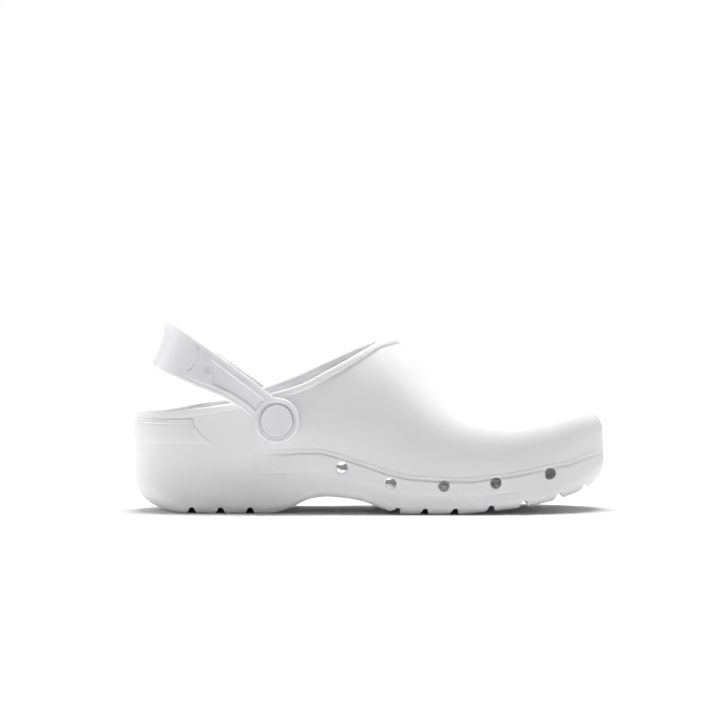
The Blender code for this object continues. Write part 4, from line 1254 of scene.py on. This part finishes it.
def moulded_white(name, colour, roughness, grain, grain_depth, soft):
    """White moulded finish: slight cloudy tone, fine grain and uneven gloss."""
    material, tree, add, shader = new_material(
        name, {"Metallic": 0.0, "IOR": 1.46, "Specular IOR Level": 0.32, "Subsurface Weight": soft,
               "Subsurface Radius": (1.0, 0.98, 0.95), "Subsurface Scale": 0.0025})
    place = add("ShaderNodeTexCoord")
    cloud = set_sockets(add("ShaderNodeTexNoise"), {"Scale": 38.0, "Detail": 3.0})
    tone = add("ShaderNodeValToRGB")
    dark, light = tone.color_ramp.elements
    dark.position, light.position = 0.3, 0.7
    dark.color = (*[channel * 0.98 for channel in colour], 1)
    light.color = (*colour, 1)
    gloss = set_sockets(add("ShaderNodeTexNoise"), {"Scale": 95.0, "Detail": 4.0})
    spread = set_sockets(add("ShaderNodeMapRange"), {"To Min": roughness - 0.04, "To Max": roughness + 0.05})
    cells = set_sockets(add("ShaderNodeTexVoronoi"), {"Scale": grain})
    fine = set_sockets(add("ShaderNodeTexNoise"), {"Scale": grain * 1.7, "Detail": 2.0})
    both = add("ShaderNodeMath")
    both.operation = "ADD"
    bump = set_sockets(add("ShaderNodeBump"), {"Strength": 0.35, "Distance": grain_depth})
    wire(tree, [(place, "Object", texture, "Vector") for texture in (cloud, gloss, cells, fine)])
    wire(tree, ((cloud, "Fac", tone, "Fac"), (tone, "Color", shader, "Base Color"),
                (gloss, "Fac", spread, "Value"), (spread, "Result", shader, "Roughness"),
                (cells, "Distance", both, 0), (fine, "Fac", both, 1),
                (both, "Value", bump, "Height"), (bump, "Normal", shader, "Normal")))
    return material


def dress(item, node, material):
    item.data.materials.clear()
    item.data.materials.append(material)
    if node:
        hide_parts(node)
    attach(item, "root")


def make_stage():
    """Large pale floor, lit up from below away from the clog like a photographer's light table."""
    mesh = bpy.data.meshes.new("floor")
    radius, count = 9.0, 96
    turns = [2 * math.pi * k / count for k in range(count)]
    ring = [(radius * math.cos(turn), radius * math.sin(turn), 0.0) for turn in turns]
    mesh.from_pydata(ring, [], [list(range(count))])
    floor = linked("floor", mesh)
    material, tree, add, shader = new_material(
        "floor_white", {"Base Color": (0.95, 0.95, 0.95, 1), "Roughness": 0.9,
                        "Specular IOR Level": 0.0, "Emission Color": (1, 1, 1, 1)})
    reach = add("ShaderNodeVectorMath")
    reach.operation = "LENGTH"
    glow = set_sockets(add("ShaderNodeMapRange"),
                       {"From Min": 0.30, "From Max": 1.3, "To Min": 0.0, "To Max": 1.2})
    glow.interpolation_type = "SMOOTHSTEP"
    wire(tree, ((add("ShaderNodeTexCoord"), "Object", reach, 0), (reach, "Value", glow, "Value"),
                (glow, "Result", shader, "Emission Strength")))
    mesh.materials.append(material)


def area_light(name, place, aim, size, power):
    data = bpy.data.lights.new(name, "AREA")
    data.shape = "RECTANGLE"
    data.size, data.size_y = size
    data.energy = power
    lamp = linked(name, data)
    lamp.location = place
    lamp.rotation_euler = (Vector(aim) - Vector(place)).to_track_quat("-Z", "Y").to_euler()


def make_studio():
    """White room: bright near the horizon, dimmer overhead, with a large soft light above."""
    world = bpy.data.worlds.new("white_room")
    bpy.context.scene.world = world
    world.use_nodes = True
    tree = world.node_tree
    add = tree.nodes.new
    split = add("ShaderNodeSeparateXYZ")
    tone = set_sockets(add("ShaderNodeMapRange"),
                       {"From Min": 0.05, "From Max": 0.16, "To Min": 1.03, "To Max": 0.15})
    sky = set_sockets(tree.nodes["Background"], {"Color": (1, 1, 1, 1)})
    wire(tree, ((add("ShaderNodeTexCoord"), "Generated", split, "Vector"), (split, "Z", tone, "Value"),
                (tone, "Result", sky, "Strength")))
    area_light("top_light", (0.03, 0.24, 1.28), (0, 0, 0.03), (0.8, 0.45), 21.5)
    area_light("back_light", (-1.15, 0.28, 0.4), (0, 0, 0.05), (0.5, 0.5), 3.0)


def make_camera():
    data = bpy.data.cameras.new("photo_view")
    data.sensor_width = 36.0
    data.lens = CAMERA_LENS
    camera = linked("photo_view", data)
    rise, turn = CAMERA_RISE, CAMERA_TURN
    back = Vector((-math.sin(turn) * math.cos(rise), -math.cos(turn) * math.cos(rise), math.sin(rise)))
    camera.location = Vector(CAMERA_AIM) + CAMERA_DISTANCE * back
    camera.rotation_euler = (math.pi / 2 - rise, 0, -turn)
    bpy.context.scene.camera = camera


def main():
    foam = moulded_white("satin_foam", (0.893, 0.893, 0.90), 0.42, 1500.0, 0.00005, 0.65)
    strap_foam = moulded_white("strap_foam_satin", (0.88, 0.875, 0.895), 0.40, 1700.0, 0.00004, 0.6)
    lining = moulded_white("footbed_foam", (0.89, 0.89, 0.895), 0.62, 1100.0, 0.00009, 0.0)
    button = moulded_white("button_plastic_satin", (0.88, 0.875, 0.895), 0.36, 2400.0, 0.00002, 0.3)
    keeper = moulded_white("keeper_plastic_matt", (0.76, 0.76, 0.78), 0.45, 2400.0, 0.00002, 0.0)
    dress(make_shell(), "clog_shell", foam)
    dress(make_insole(), "insole", lining)
    dress(make_nubs(lining), None, lining)
    dress(make_strap(), "heel_strap", strap_foam)
    for side in (LATERAL, MEDIAL):
        name = side_name(side)
        dress(make_button(side), f"rivet_button_{name}", button)
        dress(make_keeper(side), f"rivet_keeper_{name}", keeper)
    make_stage()
    make_studio()
    make_camera()
    bpy.context.scene.view_settings.view_transform = "Standard"


main()
